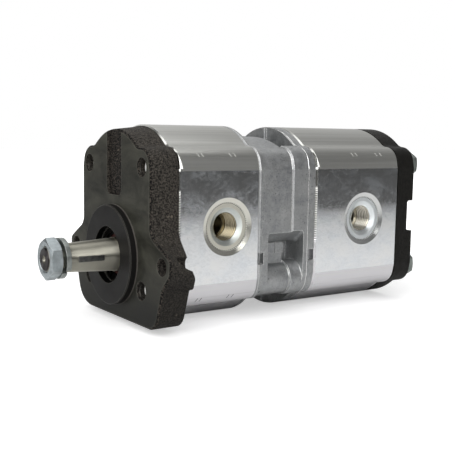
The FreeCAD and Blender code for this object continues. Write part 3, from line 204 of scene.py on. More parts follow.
# Colours of the painted rear cover and the small parts
PAINTED_IRON_COLOURS = ((0.003, 0.0028, 0.0022), (0.012, 0.011, 0.009))
ZINC_EDGE_COLOUR = (0.8, 0.8, 0.77)
BOLT_END_HIGHLIGHT_COLOUR = (0.86, 0.86, 0.83)
SHAFT_THREAD_COLOUR = (0.06, 0.055, 0.055)
KEY_COLOURS = ((0.09, 0.09, 0.088), (0.17, 0.17, 0.165))
KEY_EDGE_COLOUR = (0.45, 0.45, 0.43)
NYLON_COLOURS = ((0.74, 0.72, 0.63), (0.84, 0.82, 0.75))

# White table. In reflections on the pump its colour and glow paint light and shade: it is dark far in front,
# steps up, rises towards the pump and is dim in its left corner, where x and a share of y add up to little
FLOOR_GAP = 0.2 * MM
FLOOR_SIZE = 4.0
FLOOR_LEVEL = 0.86
TABLE_DARK_LEVEL = 0.11
TABLE_STEP_Y = (-0.605, -0.515)
TABLE_STEP_RISE = 0.40
TABLE_RISE_Y = (-0.515, -0.20)
TABLE_RISE = 0.20
TABLE_SHEEN = 0.10
TABLE_CORNER_TURN = 0.5
TABLE_CORNER = (-0.42, -0.27)
TABLE_CORNER_LEVEL = 0.2

# Shade on the table under the pump, in y and x, and the table's glow for the camera, which makes it white
# away from the pump
SHADE_LEVEL = 0.9
SHADE_HALF_WIDTH = (0.015, 0.040)
SHADE_START = (0.020, 0.045)
SHADE_END = (0.190, 0.215)
GLOW_NEAR = 0.25
GLOW_FAR = 0.70
GLOW_NEAR_LEVEL = 0.45

# Brightness of the studio round the pump, with a dip in front, and the parts of a direction between which it
# changes
ROOM_BACK_LEVEL = 0.76
ROOM_TOP_LEVEL = 0.31
ROOM_FRONT_DIP = -0.12
ROOM_DARK_LEVEL = 0.10
ROOM_LEFT_LEVEL = 1.6
ROOM_LEFT_BACK_LEVEL = 0.03
ROOM_BACK_UP = (0.98, 0.65)
ROOM_BACK_Y = (0.0, 0.8)
ROOM_FRONT_Y = (-0.8, 0.0)
ROOM_DARK_Y = (-0.2, -0.7)
ROOM_DARK_UP = (0.32, 0.02)
ROOM_LEFT_X = (-0.10, -0.45)
ROOM_LEFT_UP = (0.0, 0.06)
ROOM_LEFT_Y = (0.50, 0.30)

# Softboxes, each with its place, width, height and watts, aimed at the pump's middle
LAMP_TARGET = (0.08, 0, 0.01)
LAMPS = {
    "key_softbox": ((-0.57, -0.82, 0.69), 1.4, 0.9, 6.4),
    "front_softbox": ((0.17, -1.0, 0.42), 0.32, 0.26, 0.65),
    "top_softbox": ((0.30, 0.15, 1.3), 1.0, 0.8, 3.0),
}


def add_camera():
    """The photograph's camera, turned by its azimuth, elevation and roll."""
    azimuth = math.radians(CAMERA_AZIMUTH)
    elevation = math.radians(CAMERA_ELEVATION)
    roll = math.radians(CAMERA_ROLL)
    back = Vector((math.sin(azimuth) * math.cos(elevation),
                   -math.cos(azimuth) * math.cos(elevation),
                   math.sin(elevation)))
    right = (-back).cross(Vector((0, 0, 1))).normalized()
    up = right.cross(-back)
    columns = (right * math.cos(roll) + up * math.sin(roll),
               up * math.cos(roll) - right * math.sin(roll),
               back)
    data = bpy.data.cameras.new("camera")
    data.sensor_width = SENSOR_WIDTH
    data.lens = FOCAL_PIXELS / IMAGE_SIZE * SENSOR_WIDTH
    data.shift_x = (IMAGE_SIZE / 2 - CENTRE_PIXEL[0]) / IMAGE_SIZE
    data.shift_y = (CENTRE_PIXEL[1] - IMAGE_SIZE / 2) / IMAGE_SIZE
    data.clip_start = CAMERA_NEAR
    camera = bpy.data.objects.new("camera", data)
    turn = Matrix(columns).transposed()
    camera.matrix_world = Matrix.Translation(CAMERA_PLACE) @ turn.to_4x4()
    bpy.context.scene.collection.objects.link(camera)
    bpy.context.scene.camera = camera


class Paint:
    """A material on the Principled shader: plain values first, then the nodes that drive them."""

    def __init__(self, name, colour, roughness, metallic=1.0):
        self.material = bpy.data.materials.new(name)
        self.material.use_nodes = True
        self.nodes = self.material.node_tree.nodes
        self.links = self.material.node_tree.links
        self.shader = self.nodes["Principled BSDF"]
        self.set("Base Color", (*colour, 1.0))
        self.set("Roughness", roughness)
        self.set("Metallic", metallic)
        surface = self.nodes.new("ShaderNodeTexCoord")
        self.place = surface.outputs["Object"]
        self.facing = surface.outputs["Normal"]
        self.bevel = None
        self.normal = None

    def set(self, name, value):
        """Sets or links one of the shader's inputs."""
        self.feed(value, self.shader.inputs[name])

    def source(self, name):
        """The node output that is linked to one of the shader's inputs."""
        return self.shader.inputs[name].links[0].from_socket

    def feed(self, value, socket):
        """Links a node's output to a socket, or sets the socket to a plain value."""
        if isinstance(value, bpy.types.NodeSocket):
            self.links.new(value, socket)
        else:
            socket.default_value = value

    def math(self, operation, a, b=0.0):
        """Result of a math operation on one or two numbers."""
        node = self.nodes.new("ShaderNodeMath")
        node.operation = operation
        self.feed(a, node.inputs[0])
        self.feed(b, node.inputs[1])
        return node.outputs[0]

    def product(self, first, *others):
        """Product of two or more numbers."""
        for other in others:
            first = self.math("MULTIPLY", first, other)
        return first

    def wave(self, length, pitch):
        """Sine wave along a length."""
        return self.math("SINE", self.product(length, 2 * math.pi / pitch))

    def parts(self, vector):
        """The X, Y and Z of a vector."""
        node = self.nodes.new("ShaderNodeSeparateXYZ")
        self.feed(vector, node.inputs[0])
        return node.outputs

    def distance(self, across, along):
        """Length of a vector in a plane."""
        squares = self.math("ADD", self.product(across, across), self.product(along, along))
        return self.math("SQRT", squares)

    def from_shaft(self):
        """Distance from the drive shaft's axis, which is the X axis."""
        _, y, z = self.parts(self.place)
        return self.distance(y, z)

    def from_port(self, port_x, port_z):
        """Distance from a port's axis along Y, and the angle round it."""
        x, _, z = self.parts(self.place)
        across = self.math("SUBTRACT", x, port_x)
        along = self.math("SUBTRACT", z, port_z)
        return self.distance(across, along), self.math("ARCTAN2", along, across)

    def scaled(self, x, y, z, turn=0.0):
        """Object coordinates, scaled and turned about X in degrees."""
        node = self.nodes.new("ShaderNodeMapping")
        self.feed(self.place, node.inputs["Vector"])
        node.inputs["Scale"].default_value = (x, y, z)
        node.inputs["Rotation"].default_value = (math.radians(turn), 0, 0)
        return node.outputs[0]

    def noise(self, scale, detail=2.0, vector=None, roughness=0.5, distortion=0.0):
        """Cloudy pattern around one half."""
        node = self.nodes.new("ShaderNodeTexNoise")
        self.feed(vector or self.place, node.inputs["Vector"])
        node.inputs["Scale"].default_value = scale
        node.inputs["Detail"].default_value = detail
        node.inputs["Roughness"].default_value = roughness
        node.inputs["Distortion"].default_value = distortion
        return node.outputs["Fac"]

    def cells(self, scale):
        """A random shade for each cell."""
        node = self.nodes.new("ShaderNodeTexVoronoi")
        self.feed(self.place, node.inputs["Vector"])
        node.inputs["Scale"].default_value = scale
        return node.outputs["Color"]

    def ramp(self, value, low, high, start=0.0, end=1.0):
        """Value between two limits, spread over a new range and held at its ends."""
        node = self.nodes.new("ShaderNodeMapRange")
        self.feed(value, node.inputs["Value"])
        node.inputs["From Min"].default_value = low
        node.inputs["From Max"].default_value = high
        node.inputs["To Min"].default_value = start
        node.inputs["To Max"].default_value = end
        return node.outputs[0]

    def band(self, value, low, high, soft):
        """One between two limits and zero outside them."""
        return self.product(self.ramp(value, low - soft, low), self.ramp(value, high + soft, high))

    def blend(self, share, a, b):
        """Mix of two colours."""
        node = self.nodes.new("ShaderNodeMix")
        node.data_type = "RGBA"
        self.feed(share, node.inputs["Factor"])
        for name, colour in (("A", a), ("B", b)):
            socket = next(s for s in node.inputs if s.name == name and s.type == "RGBA")
            self.feed((*colour, 1.0) if isinstance(colour, tuple) else colour, socket)
        return next(s for s in node.outputs if s.type == "RGBA")

    def mix(self, share, a, b):
        """Mix of two numbers."""
        node = self.nodes.new("ShaderNodeMix")
        self.feed(share, node.inputs["Factor"])
        self.feed(a, node.inputs["A"])
        self.feed(b, node.inputs["B"])
        return node.outputs["Result"]

    def rounded(self, radius):
        """Shades sharp edges as if they had that radius."""
        node = self.nodes.new("ShaderNodeBevel")
        node.samples = BEVEL_SAMPLES
        node.inputs["Radius"].default_value = radius
        self.bevel = node.outputs[0]
        self.normal = node.outputs[0]

    def edges(self, start=0.999, end=0.93):
        """One where the rounding of a sharp edge bends the surface, zero elsewhere."""
        node = self.nodes.new("ShaderNodeVectorMath")
        node.operation = "DOT_PRODUCT"
        self.links.new(self.bevel, node.inputs[0])
        self.links.new(self.nodes.new("ShaderNodeNewGeometry").outputs["Normal"], node.inputs[1])
        return self.ramp(node.outputs["Value"], start, end)

    def relief(self, height, depth, strength=1.0):
        """Adds a fine relief on top of what is there."""
        node = self.nodes.new("ShaderNodeBump")
        node.inputs["Distance"].default_value = depth
        self.feed(strength, node.inputs["Strength"])
        self.feed(height, node.inputs["Height"])
        if self.normal is not None:
            self.links.new(self.normal, node.inputs["Normal"])
        self.normal = node.outputs[0]

    def brushed(self, amount, across):
        """Stretches reflections along X, or across it for lines that run along X."""
        node = self.nodes.new("ShaderNodeCombineXYZ")
        node.inputs[0].default_value = 1.0
        self.links.new(node.outputs[0], self.shader.inputs["Tangent"])
        self.set("Anisotropic", amount)
        self.set("Anisotropic Rotation", QUARTER_TURN if across else 0.0)

    def done(self):
        """Links the relief and returns the material."""
        if self.normal is not None:
            self.links.new(self.normal, self.shader.inputs["Normal"])
        return self.material


def cast_skin_colour(paint, grain, z):
    """Grainy casting with a few bright flecks, and painted shade that darkens it low down and on the surfaces
    facing front, in the slot.
    """
    # Painted shade: cast surfaces facing front, the slot's floor, are made darker
    slot_shade = paint.ramp(paint.parts(paint.facing)[0], -0.5, -0.7)
    side_colour = paint.blend(paint.ramp(grain, 0.38, 0.66), *SIDE_COLOURS)
    # Painted shade: the sides turn darker low down
    side_colour = paint.blend(paint.ramp(z, *LOW_SIDE_SHADE_Z, 0.0, 0.6), side_colour, LOW_SIDE_SHADE_COLOUR)
    slot_shade_colour = paint.blend(paint.ramp(grain, 0.49, 0.60), *SLOT_SHADE_COLOURS)
    colour = paint.blend(slot_shade, side_colour, slot_shade_colour)
    flecks = paint.ramp(paint.cells(900), 0.92, 0.95)
    flecked = paint.ramp(paint.noise(38, 3.0), 0.45, 0.6)
    return paint.blend(paint.product(flecks, flecked, 0.5), colour, FLECK_COLOUR)


def machined_face_colour(paint, smudge, x, z, radius):
    """Smudged face with painted shade low down, a dark pilot, the bore painted black as shade, edges
    lightened by wear and a painted highlight, and a light line round the pilot painted as a highlight.
    """
    pilot = paint.ramp(x, -FACE_MARGIN[0], -FACE_MARGIN[1])
    bore = paint.ramp(radius, FLANGE_BORE_RADIUS + SOFT_FADE, FLANGE_BORE_RADIUS)
    root = paint.product(paint.band(x, *PILOT_ROOT, HAIR_FADE), paint.ramp(radius, *PILOT_ROOT_RADII))
    colour = paint.blend(paint.ramp(smudge, 0.32, 0.68), *FACE_COLOURS)
    # Painted shade: the face turns darker low down
    colour = paint.blend(paint.ramp(z, *LOW_FACE_SHADE_Z, 0.0, 0.8), colour, LOW_FACE_SHADE_COLOUR)
    colour = paint.blend(pilot, colour, PILOT_COLOUR)
    # Painted shade: the bore near black
    colour = paint.blend(bore, colour, FLANGE_BORE_SHADE_COLOUR)
    # Edges made lighter, partly wear and partly a painted highlight
    colour = paint.blend(paint.product(paint.edges(), 0.7), colour, WORN_AND_HIGHLIGHT_IRON_COLOUR)
    # Painted highlight: a light line round the pilot's root
    return paint.blend(root, colour, PILOT_ROOT_HIGHLIGHT_COLOUR)


def flange_iron():
    """Phosphated casting: grainy sides and slot, machined front face and pilot."""
    paint = Paint("flange_iron", (0.05, 0.045, 0.04), 0.5, 0.0)
    paint.set("Specular IOR Level", 0.12)
    paint.rounded(0.5 * MM)
    x, _, z = paint.parts(paint.place)
    radius = paint.from_shaft()
    cast = paint.ramp(x, *FACE_MARGIN)
    grain = paint.noise(1150, 2.0, roughness=0.6)
    lumps = paint.noise(330, 2.0)
    smudge = paint.noise(1.0, 5.0, paint.scaled(40, 38, 70, 35), 0.66, 0.5)
    skin_colour = cast_skin_colour(paint, grain, z)
    face_colour = machined_face_colour(paint, smudge, x, z, radius)
    paint.set("Base Color", paint.blend(cast, face_colour, skin_colour))
    paint.set("Roughness", paint.mix(cast, paint.ramp(smudge, 0.3, 0.7, 0.38, 0.5), 0.6))
    paint.relief(grain, 0.7 * MM, cast)
    paint.relief(lumps, 0.6 * MM, paint.product(cast, 0.6))
    paint.relief(paint.wave(radius, FLANGE_TURNING_PITCH), 0.004 * MM, paint.math("SUBTRACT", 1.0, cast))
    return paint.done()


def shoulder_colour(paint, lines, broad, z):
    """Dome and rounded corners: light and dark lines along the pump, and a painted reflection of the table
    that makes them paler low down.
    """
    colour = paint.blend(paint.ramp(broad, 0.3, 0.7), *SHOULDER_COLOURS)
    # Painted reflection: the lower shoulders paler, as if mirroring the white table
    colour = paint.blend(paint.ramp(z, CENTRE_Z, CENTRE_Z - LOW_SHOULDER_REFLECTION_FADE), colour, LOW_SHOULDER_REFLECTION_COLOUR)
    colour = paint.blend(paint.ramp(lines, 0.55, 0.72, 0.0, 0.5), colour, LIGHT_LINE_COLOUR)
    return paint.blend(paint.ramp(lines, 0.42, 0.30, 0.0, 0.45), colour, DARK_LINE_COLOUR)


def file_corners(paint, low_x, x, z):
    """Tilts a patch with a slanted end at the upper corners of the front chamfer, as a file leaves it."""
    patch = paint.band(z, CORNER_Z - FILED_BELOW_CORNER, CORNER_Z + FILED_ABOVE_CORNER, FILED_FADE)
    leaning = paint.math("ADD", paint.product(z, FILED_LEAN), x)
    end = low_x + FILED_WIDTH + FILED_LEAN * CORNER_Z
    patch = paint.product(patch, paint.ramp(leaning, end, end - SOFT_FADE))
    slope = paint.ramp(x, low_x, low_x + FILED_WIDTH)
    paint.relief(slope, FILED_WIDTH * math.tan(math.radians(FILED_SLOPE)), patch)


def port_radii(port):
    """Radii of a port's bore, mouth, spot face and rim."""
    bore = port["dims"]["r_mm"] * MM
    return bore, bore + PORT_MOUTH_WIDTH, bore + PORT_FLOOR_MARGIN, bore + PORT_RIM_MARGIN


def port_colour(paint, port, colours, radius, dots):
    """Rim, spot face, mouth and bore of a port, each in its own colour, and dots round the spot face painted
    dark as shade.
    """
    bore, mouth, floor, _ = port_radii(port)
    rim_colour, floor_colour, mouth_colour, bore_colour = colours
    colour = paint.blend(paint.ramp(radius, floor - FINE_FADE, floor), floor_colour, rim_colour)
    colour = paint.blend(paint.ramp(radius, mouth, mouth - FINE_FADE), colour, mouth_colour)
    colour = paint.blend(paint.ramp(radius, bore + SHARP_FADE, bore), colour, bore_colour)
    return paint.blend(dots, colour, DOT_SHADE_COLOUR)


def port_roughness(paint, port, radius):
    """Polished bore, matt spot face and bright rim."""
    bore, mouth, floor, _ = port_radii(port)
    rough = paint.ramp(radius, bore, mouth, 0.20, 0.50)
    return paint.mix(paint.ramp(radius, floor, floor + SOFT_FADE), rough, 0.18)


def milled_roughness(paint, stained, halo, haze):
    """Near mirror with hazy stains, fine specks and a trace round the port."""
    stains = paint.ramp(stained, 0.0, 1.0, haze, haze + 0.07)
    specks = paint.ramp(paint.noise(1300, 1.0), 0.58, 0.75, 0.0, 0.07)
    return paint.math("ADD", paint.math("ADD", stains, specks), paint.product(halo, 0.02))


def body_aluminium(name, low_x, port, port_colours, cloud_turn, haze):
    """Bright extrusion: lines along the pump, hazy milled sides, turned ports and chattered front chamfer."""
    paint = Paint(name, (0.7, 0.7, 0.69), 0.2)
    paint.rounded(0.25 * MM)
    paint.brushed(0.8, across=True)
    x, _, z = paint.parts(paint.place)
    milled = paint.ramp(paint.math("ABSOLUTE", paint.parts(paint.facing)[1]), 0.985, 0.998)
    chamfer = paint.ramp(x, low_x + CHAMFER_END[0], low_x + CHAMFER_END[1])
    chatter = paint.wave(z, CHATTER_PITCH)
    chattered = paint.product(chamfer, paint.band(z, *CHATTER_Z, CHATTER_FADE))
    _, _, floor, rim = port_radii(port)
    radius, angle = paint.from_port(port["pos_m"][0], port["pos_m"][2])
    in_port = paint.ramp(radius, rim + SHARP_FADE, rim - SHARP_FADE)
    halo = paint.band(radius, rim + HALO_START, rim + HALO_END, HALO_FADE)
    dots = paint.math("SINE", paint.product(angle, PORT_DOTS))
    dotted = paint.band(radius, floor - PORT_DOT_REACH, floor + PORT_DOT_REACH, SHARP_FADE)
    fine = paint.noise(1.0, 2.0, paint.scaled(9, 2600, 2600), 0.6)
    lines = paint.noise(1.0, 3.0, paint.scaled(5, 700, 700), 0.65)
    broad = paint.noise(1.0, 2.0, paint.scaled(4, 130, 130))
    cloud = paint.noise(75, 5.0, paint.scaled(0.8, 1.0, 1.3, cloud_turn), 0.62, 0.5)
    stain = paint.noise(480, 4.0, paint.scaled(0.8, 1.0, 1.2), 0.7, 0.6)
    stained = paint.ramp(paint.math("ADD", cloud, stain), 0.90, 1.20)

    milled_colour = paint.blend(paint.ramp(cloud, 0.35, 0.7), *MILLED_COLOURS)
    colour = paint.blend(milled, shoulder_colour(paint, lines, broad, z), milled_colour)
    # Painted shade: dark bands between the ridges of the chatter on the front chamfer
    colour = paint.blend(paint.product(chattered, paint.ramp(chatter, -0.4, 0.2)), colour, CHATTER_SHADE_COLOUR)
    # Painted shade: the dots round the spot face made dark
    dot_shade = paint.product(dotted, paint.ramp(dots, -0.1, 0.4), 0.95)
    turned_colour = port_colour(paint, port, port_colours, radius, dot_shade)
    paint.set("Base Color", paint.blend(in_port, colour, turned_colour))
    film = paint.product(milled, paint.ramp(stained, 0.0, 1.0, 0.2 * haze, 2.2 * haze))
    paint.set("Metallic", paint.math("SUBTRACT", 1.0, film))
    shoulder_rough = paint.mix(chamfer, paint.ramp(broad, 0.3, 0.7, 0.27, 0.38), 0.10)
    roughness = paint.mix(milled, shoulder_rough, milled_roughness(paint, stained, halo, haze))
    paint.set("Roughness", paint.mix(in_port, roughness, port_roughness(paint, port, radius)))

    paint.relief(fine, 0.004 * MM, paint.mix(milled, 1.0, 0.1))
    paint.relief(lines, 0.016 * MM, paint.mix(milled, 1.0, 0.06))
    paint.relief(stain, 0.006 * MM, paint.product(milled, 0.3))
    paint.relief(paint.wave(radius, PORT_TURNING_PITCH), 0.008 * MM, in_port)
    paint.relief(dots, 0.10 * MM, dotted)
    paint.relief(chatter, 0.16 * MM, chattered)
    file_corners(paint, low_x, x, z)
    return paint.done()


def painted_notch_shade(paint):
    """One deep in the pry notches of the intermediate cover, where shade is painted."""
    x, y, z = paint.parts(paint.place)
    front_end = cover_low.x + NOTCH_LENGTH
    rear_end = cover_high.x - NOTCH_LENGTH
    ends = paint.math("ADD", paint.ramp(x, front_end, front_end - FINE_FADE),
                      paint.ramp(x, rear_end, rear_end + FINE_FADE))
    shallow, deep = NOTCH_SHADE_DEPTHS
    inside = paint.ramp(paint.math("ABSOLUTE", y), HALF_WIDTH - shallow, HALF_WIDTH - deep)
    return paint.product(ends, inside, paint.band(z, *NOTCH_Z, SHARP_FADE))


def cover_aluminium():
    """Dull die casting: mottled skin, fine grain, edges lighter by wear and a painted highlight, and painted
    shade in the pry notches.
    """
    paint = Paint("cover_aluminium", (0.4, 0.41, 0.42), 0.42)
    paint.rounded(0.5 * MM)
    edge = paint.edges(0.996, 0.90)
    cloud = paint.noise(70, 5.0, roughness=0.65, distortion=0.6)
    grain = paint.noise(1300, 2.0)
    flow = paint.noise(300, 4.0, roughness=0.65)
    pits = paint.ramp(paint.noise(900, 1.0), 0.68, 0.74)
    colour = paint.blend(paint.ramp(cloud, 0.32, 0.68), *COVER_COLOURS)
    colour = paint.blend(paint.ramp(flow, 0.45, 0.75, 0.0, 0.6), colour, COVER_FLOW_COLOUR)
    colour = paint.blend(paint.ramp(grain, 0.5, 0.3, 0.0, 0.4), colour, COVER_GRAIN_COLOUR)
    colour = paint.blend(paint.product(pits, 0.7), colour, COVER_PIT_COLOUR)
    # Edges made lighter, partly wear and partly a painted highlight
    colour = paint.blend(edge, colour, COVER_EDGE_WEAR_AND_HIGHLIGHT_COLOUR)
    # Painted shade deep in the pry notches
    paint.set("Base Color", paint.blend(painted_notch_shade(paint), colour, NOTCH_SHADE_COLOUR))
    paint.set("Roughness", paint.mix(edge, paint.ramp(flow, 0.3, 0.7, 0.44, 0.56), 0.24))
    paint.relief(grain, 0.06 * MM, 0.6)
    paint.relief(flow, 0.15 * MM, 0.6)
    return paint.done()


def rear_iron():
    """Black painted casting."""
    paint = Paint("rear_iron", (0.013, 0.0125, 0.0105), 0.5, 0.0)
    paint.set("Specular IOR Level", 0.18)
    paint.rounded(0.5 * MM)
    grain = paint.noise(1100, 3.0, roughness=0.6)
    lumps = paint.noise(300, 2.0)
    paint.set("Base Color", paint.blend(paint.ramp(grain, 0.35, 0.7), *PAINTED_IRON_COLOURS))
    paint.set("Roughness", paint.ramp(lumps, 0.3, 0.7, 0.45, 0.6))
    paint.relief(grain, 0.3 * MM, 0.8)
    paint.relief(lumps, 0.3 * MM, 0.4)
    return paint.done()


def zinc(name, colour, roughness):
    """Zinc plating: fine crystals, soft clouds and lighter edges."""
    paint = Paint(name, colour, roughness)
    paint.rounded(0.3 * MM)
    edge = paint.edges(0.998, 0.9)
    crystals = paint.cells(1100)
    cloud = paint.noise(260, 4.0, roughness=0.6)
    dark = tuple(0.72 * part for part in colour)
    light = tuple(min(1.0, 1.2 * part) for part in colour)
    mottled = paint.blend(paint.ramp(cloud, 0.3, 0.7), dark, light)
    paint.set("Base Color", paint.blend(paint.product(edge, 0.5), mottled, ZINC_EDGE_COLOUR))
    paint.set("Roughness", paint.ramp(crystals, 0.0, 1.0, roughness - 0.05, roughness + 0.09))
    paint.relief(cloud, 0.08 * MM, 0.5)
    return paint


def bolt_zinc():
    """Assembly bolts, whose flat ends in the flange's holes are painted pale as a highlight."""
    paint = zinc("bolt_zinc", (0.30, 0.33, 0.31), 0.42)
    x = paint.parts(paint.place)[0]
    ending = paint.ramp(x, BOLT_RECESS + BOLT_END_FADE[0], BOLT_RECESS + BOLT_END_FADE[1])
    # Painted highlight: the bolts' flat ends pale and not metallic
    paint.set("Base Color", paint.blend(ending, paint.source("Base Color"), BOLT_END_HIGHLIGHT_COLOUR))
    paint.set("Metallic", paint.math("SUBTRACT", 1.0, ending))
    return paint.done()


def ground_steel(name, colour, roughness, lines=1600.0):
    """Ground steel with fine lines round its axis and light wear."""
    paint = Paint(name, colour, roughness)
    grinding = paint.noise(1.0, 2.0, paint.scaled(lines, 30, 30))
    wear = paint.noise(140, 4.0)
    low = tuple(0.88 * part for part in colour)
    paint.set("Base Color", paint.blend(paint.ramp(wear, 0.35, 0.7), low, colour))
    paint.set("Roughness", paint.ramp(wear, 0.3, 0.7, roughness, roughness + 0.05))
    paint.relief(grinding, 0.002 * MM, 0.8)
    return paint


def shaft_steel():
    """Shafts and gears: reflections smeared along the shaft, and a dark threaded end."""
    paint = ground_steel("gear_steel", (0.51, 0.495, 0.42), 0.38)
    paint.brushed(1.0, across=False)
    x = paint.parts(paint.place)[0]
    outside_hole = paint.ramp(paint.from_shaft(), *CENTRE_HOLE_EDGE)
    threaded = paint.product(paint.ramp(x, *SHAFT_THREAD_END), outside_hole)
    paint.set("Base Color", paint.blend(threaded, paint.source("Base Color"), SHAFT_THREAD_COLOUR))
    return paint.done()


def key_steel():
    """Dark key with brighter edges."""
    paint = Paint("key_steel", (0.14, 0.14, 0.14), 0.36)
    paint.rounded(0.2 * MM)
    wear = paint.noise(500, 3.0)
    worn = paint.blend(paint.ramp(wear, 0.3, 0.7), *KEY_COLOURS)
    paint.set("Base Color", paint.blend(paint.edges(), worn, KEY_EDGE_COLOUR))
    paint.relief(wear, 0.02 * MM, 0.5)
    return paint.done()


def rubber(name, colour, roughness):
    """Rubber with a fine skin and a little dust."""
    paint = Paint(name, colour, roughness, 0.0)
    skin = paint.noise(1800, 2.0)
    dust = paint.noise(200, 4.0)
    light = tuple(1.6 * part for part in colour)
    paint.set("Base Color", paint.blend(paint.ramp(dust, 0.4, 0.8), colour, light))
    paint.relief(skin, 0.02 * MM, 0.5)
    return paint.done()


def plain_metal(name, colour, roughness):
    """Inner metal part: coarser machining lines and light wear."""
    return ground_steel(name, colour, roughness, lines=900.0).done()


def nylon():
    """Backup rings: cloudy, slightly yellow plastic."""
    paint = Paint("backup_plastic", (0.8, 0.78, 0.70), 0.4, 0.0)
    cloud = paint.noise(300, 3.0)
    paint.set("Base Color", paint.blend(cloud, *NYLON_COLOURS))
    paint.relief(cloud, 0.02 * MM, 0.4)
    return paint.done()


def dress_nodes():
    """Gives every CAD node its material and returns the materials by node."""
    steel = shaft_steel()
    looks = {
        "front_flange": flange_iron(),
        "front_body": body_aluminium("front_body_aluminium", front_body_low.x,
                                     mounts["front_outlet_port"], FRONT_PORT_COLOURS,
                                     cloud_turn=20, haze=0.045),
        "rear_body": body_aluminium("rear_body_aluminium", rear_body_low.x,
                                    mounts["rear_outlet_port"], REAR_PORT_COLOURS,
                                    cloud_turn=-15, haze=0.03),
        "intermediate_cover": cover_aluminium(),
        "rear_cover": rear_iron(),
        "assembly_bolts": bolt_zinc(),
        "shaft_nut": zinc("nut_zinc", (0.42, 0.465, 0.48), 0.36).done(),
        "lock_washer": zinc("washer_steel", (0.36, 0.385, 0.37), 0.38).done(),
        "front_drive_gear": steel,
        "front_idler_gear": steel,
        "rear_drive_gear": steel,
        "rear_idler_gear": steel,
        "woodruff_key": key_steel(),
        "dowel_pins": plain_metal("dowel_steel", (0.55, 0.55, 0.56), 0.25),
        "coupling_sleeve": plain_metal("sleeve_steel", (0.28, 0.27, 0.26), 0.4),
        # Painted shade: the seal case and, below, the retaining ring deep in the bore are near black
        "shaft_seal_case": plain_metal("seal_case_steel", (0.015, 0.014, 0.013), 0.45),
        "shaft_seal_lip": rubber("lip_rubber", (0.035, 0.007, 0.005), 0.35),
        "seal_garter_spring": plain_metal("spring_steel", (0.5, 0.5, 0.5), 0.3),
        "seal_retaining_ring": plain_metal("ring_steel", (0.012, 0.011, 0.010), 0.45),
    }
    seal = rubber("seal_rubber", (0.02, 0.02, 0.02), 0.5)
    repeated = {
        "_case_seal": seal,
        "_pressure_seal": seal,
        "_bearing_block": plain_metal("block_aluminium", (0.68, 0.68, 0.66), 0.3),
        "_bushes": plain_metal("bush_bronze", (0.50, 0.34, 0.17), 0.3),
        "_backup_ring": nylon(),
    }
    for name, node in frame["nodes"].items():
        for ending, material in repeated.items():
            if name.endswith(ending):
                looks[name] = material
        node.data.materials.clear()
        node.data.materials.append(looks[name])
    return looks


def add_piece(name, vertices, faces, material):
    """New piece on the housing, from its vertices and faces."""
    mesh = bpy.data.meshes.new(name)
    mesh.from_pydata(vertices, [], faces)
    mesh.update()
    mesh.materials.append(material)
    piece = bpy.data.objects.new(name, mesh)
    bpy.context.scene.collection.objects.link(piece)
    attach(piece, "housing")


def tube_faces(first, sides, steps):
    """Faces of a closed tube, whose rings of vertices start at the first one."""
    faces = []
    for step in range(steps):
        ring = first + step * sides
        for corner in range(sides):
            after = (corner + 1) % sides
            faces.append((ring + corner, ring + after, ring + sides + after, ring + sides + corner))
    last = first + steps * sides
    faces.append(tuple(reversed(range(first, first + sides))))
    faces.append(tuple(range(last, last + sides)))
    return faces


def thread(start, axis, radius, length, height):
    """Helical ridge that stands inwards from the wall of a hole, with ends that run out."""
    side = axis.orthogonal().normalized()
    other = axis.cross(side)
    steps = int(length / THREAD_PITCH * THREAD_STEPS)
    root = radius + THREAD_ROOT_DEPTH
    vertices = []
    for step in range(steps + 1):
        angle = 2 * math.pi * step / THREAD_STEPS
        fade = min(1.0, step / THREAD_STEPS, (steps - step) / THREAD_STEPS)
        spoke = side * math.cos(angle) + other * math.sin(angle)
        for along, rise in THREAD_PROFILE:
            reach = root - rise * fade * (height + root - radius)
            vertices.append(start + axis * THREAD_PITCH * (step / THREAD_STEPS + along) + spoke * reach)
    return vertices, tube_faces(0, len(THREAD_PROFILE), steps)


def add_port_threads(looks):
    """Thread turns in the four ports."""
    for name, port in mounts.items():
        if not name.endswith("_port"):
            continue
        outward = Vector(port["axis"])
        radius = port["dims"]["r_mm"] * MM
        depth = port["dims"]["length_mm"] * MM
        mouth_y = math.copysign(HALF_WIDTH - PORT_THREAD_START, outward.y)
        mouth = Vector((port["pos_m"][0], mouth_y, port["pos_m"][2]))
        start = mouth - outward * (depth - PORT_THREAD_BOTTOM)
        vertices, faces = thread(start, outward, radius, depth - PORT_THREAD_MARGIN, PORT_THREAD_HEIGHT)
        stage = name.split("_")[0]
        add_piece(name + "_thread", vertices, faces, looks[stage + "_body"])


def bolt_places():
    """Y and Z of the four assembly bolts."""
    for y_sign in (-1, 1):
        for z_sign in (-1, 1):
            yield y_sign * BOLT_SPACING_Y / 2, CENTRE_Z + z_sign * BOLT_SPACING_Z / 2


def add_bolt_hole_threads():
    """Thread turns in the flange's tapped holes, in front of the bolts' ends."""
    material = plain_metal("tapped_iron", (0.05, 0.047, 0.042), 0.4)
    inward = Vector((1, 0, 0))
    length = BOLT_RECESS - HOLE_THREAD_MARGIN
    for count, (y, z) in enumerate(bolt_places()):
        start = Vector((HOLE_THREAD_START, y, z))
        vertices, faces = thread(start, inward, BOLT_RADIUS, length, HOLE_THREAD_HEIGHT)
        add_piece(f"flange_thread_{count + 1}", vertices, faces, material)


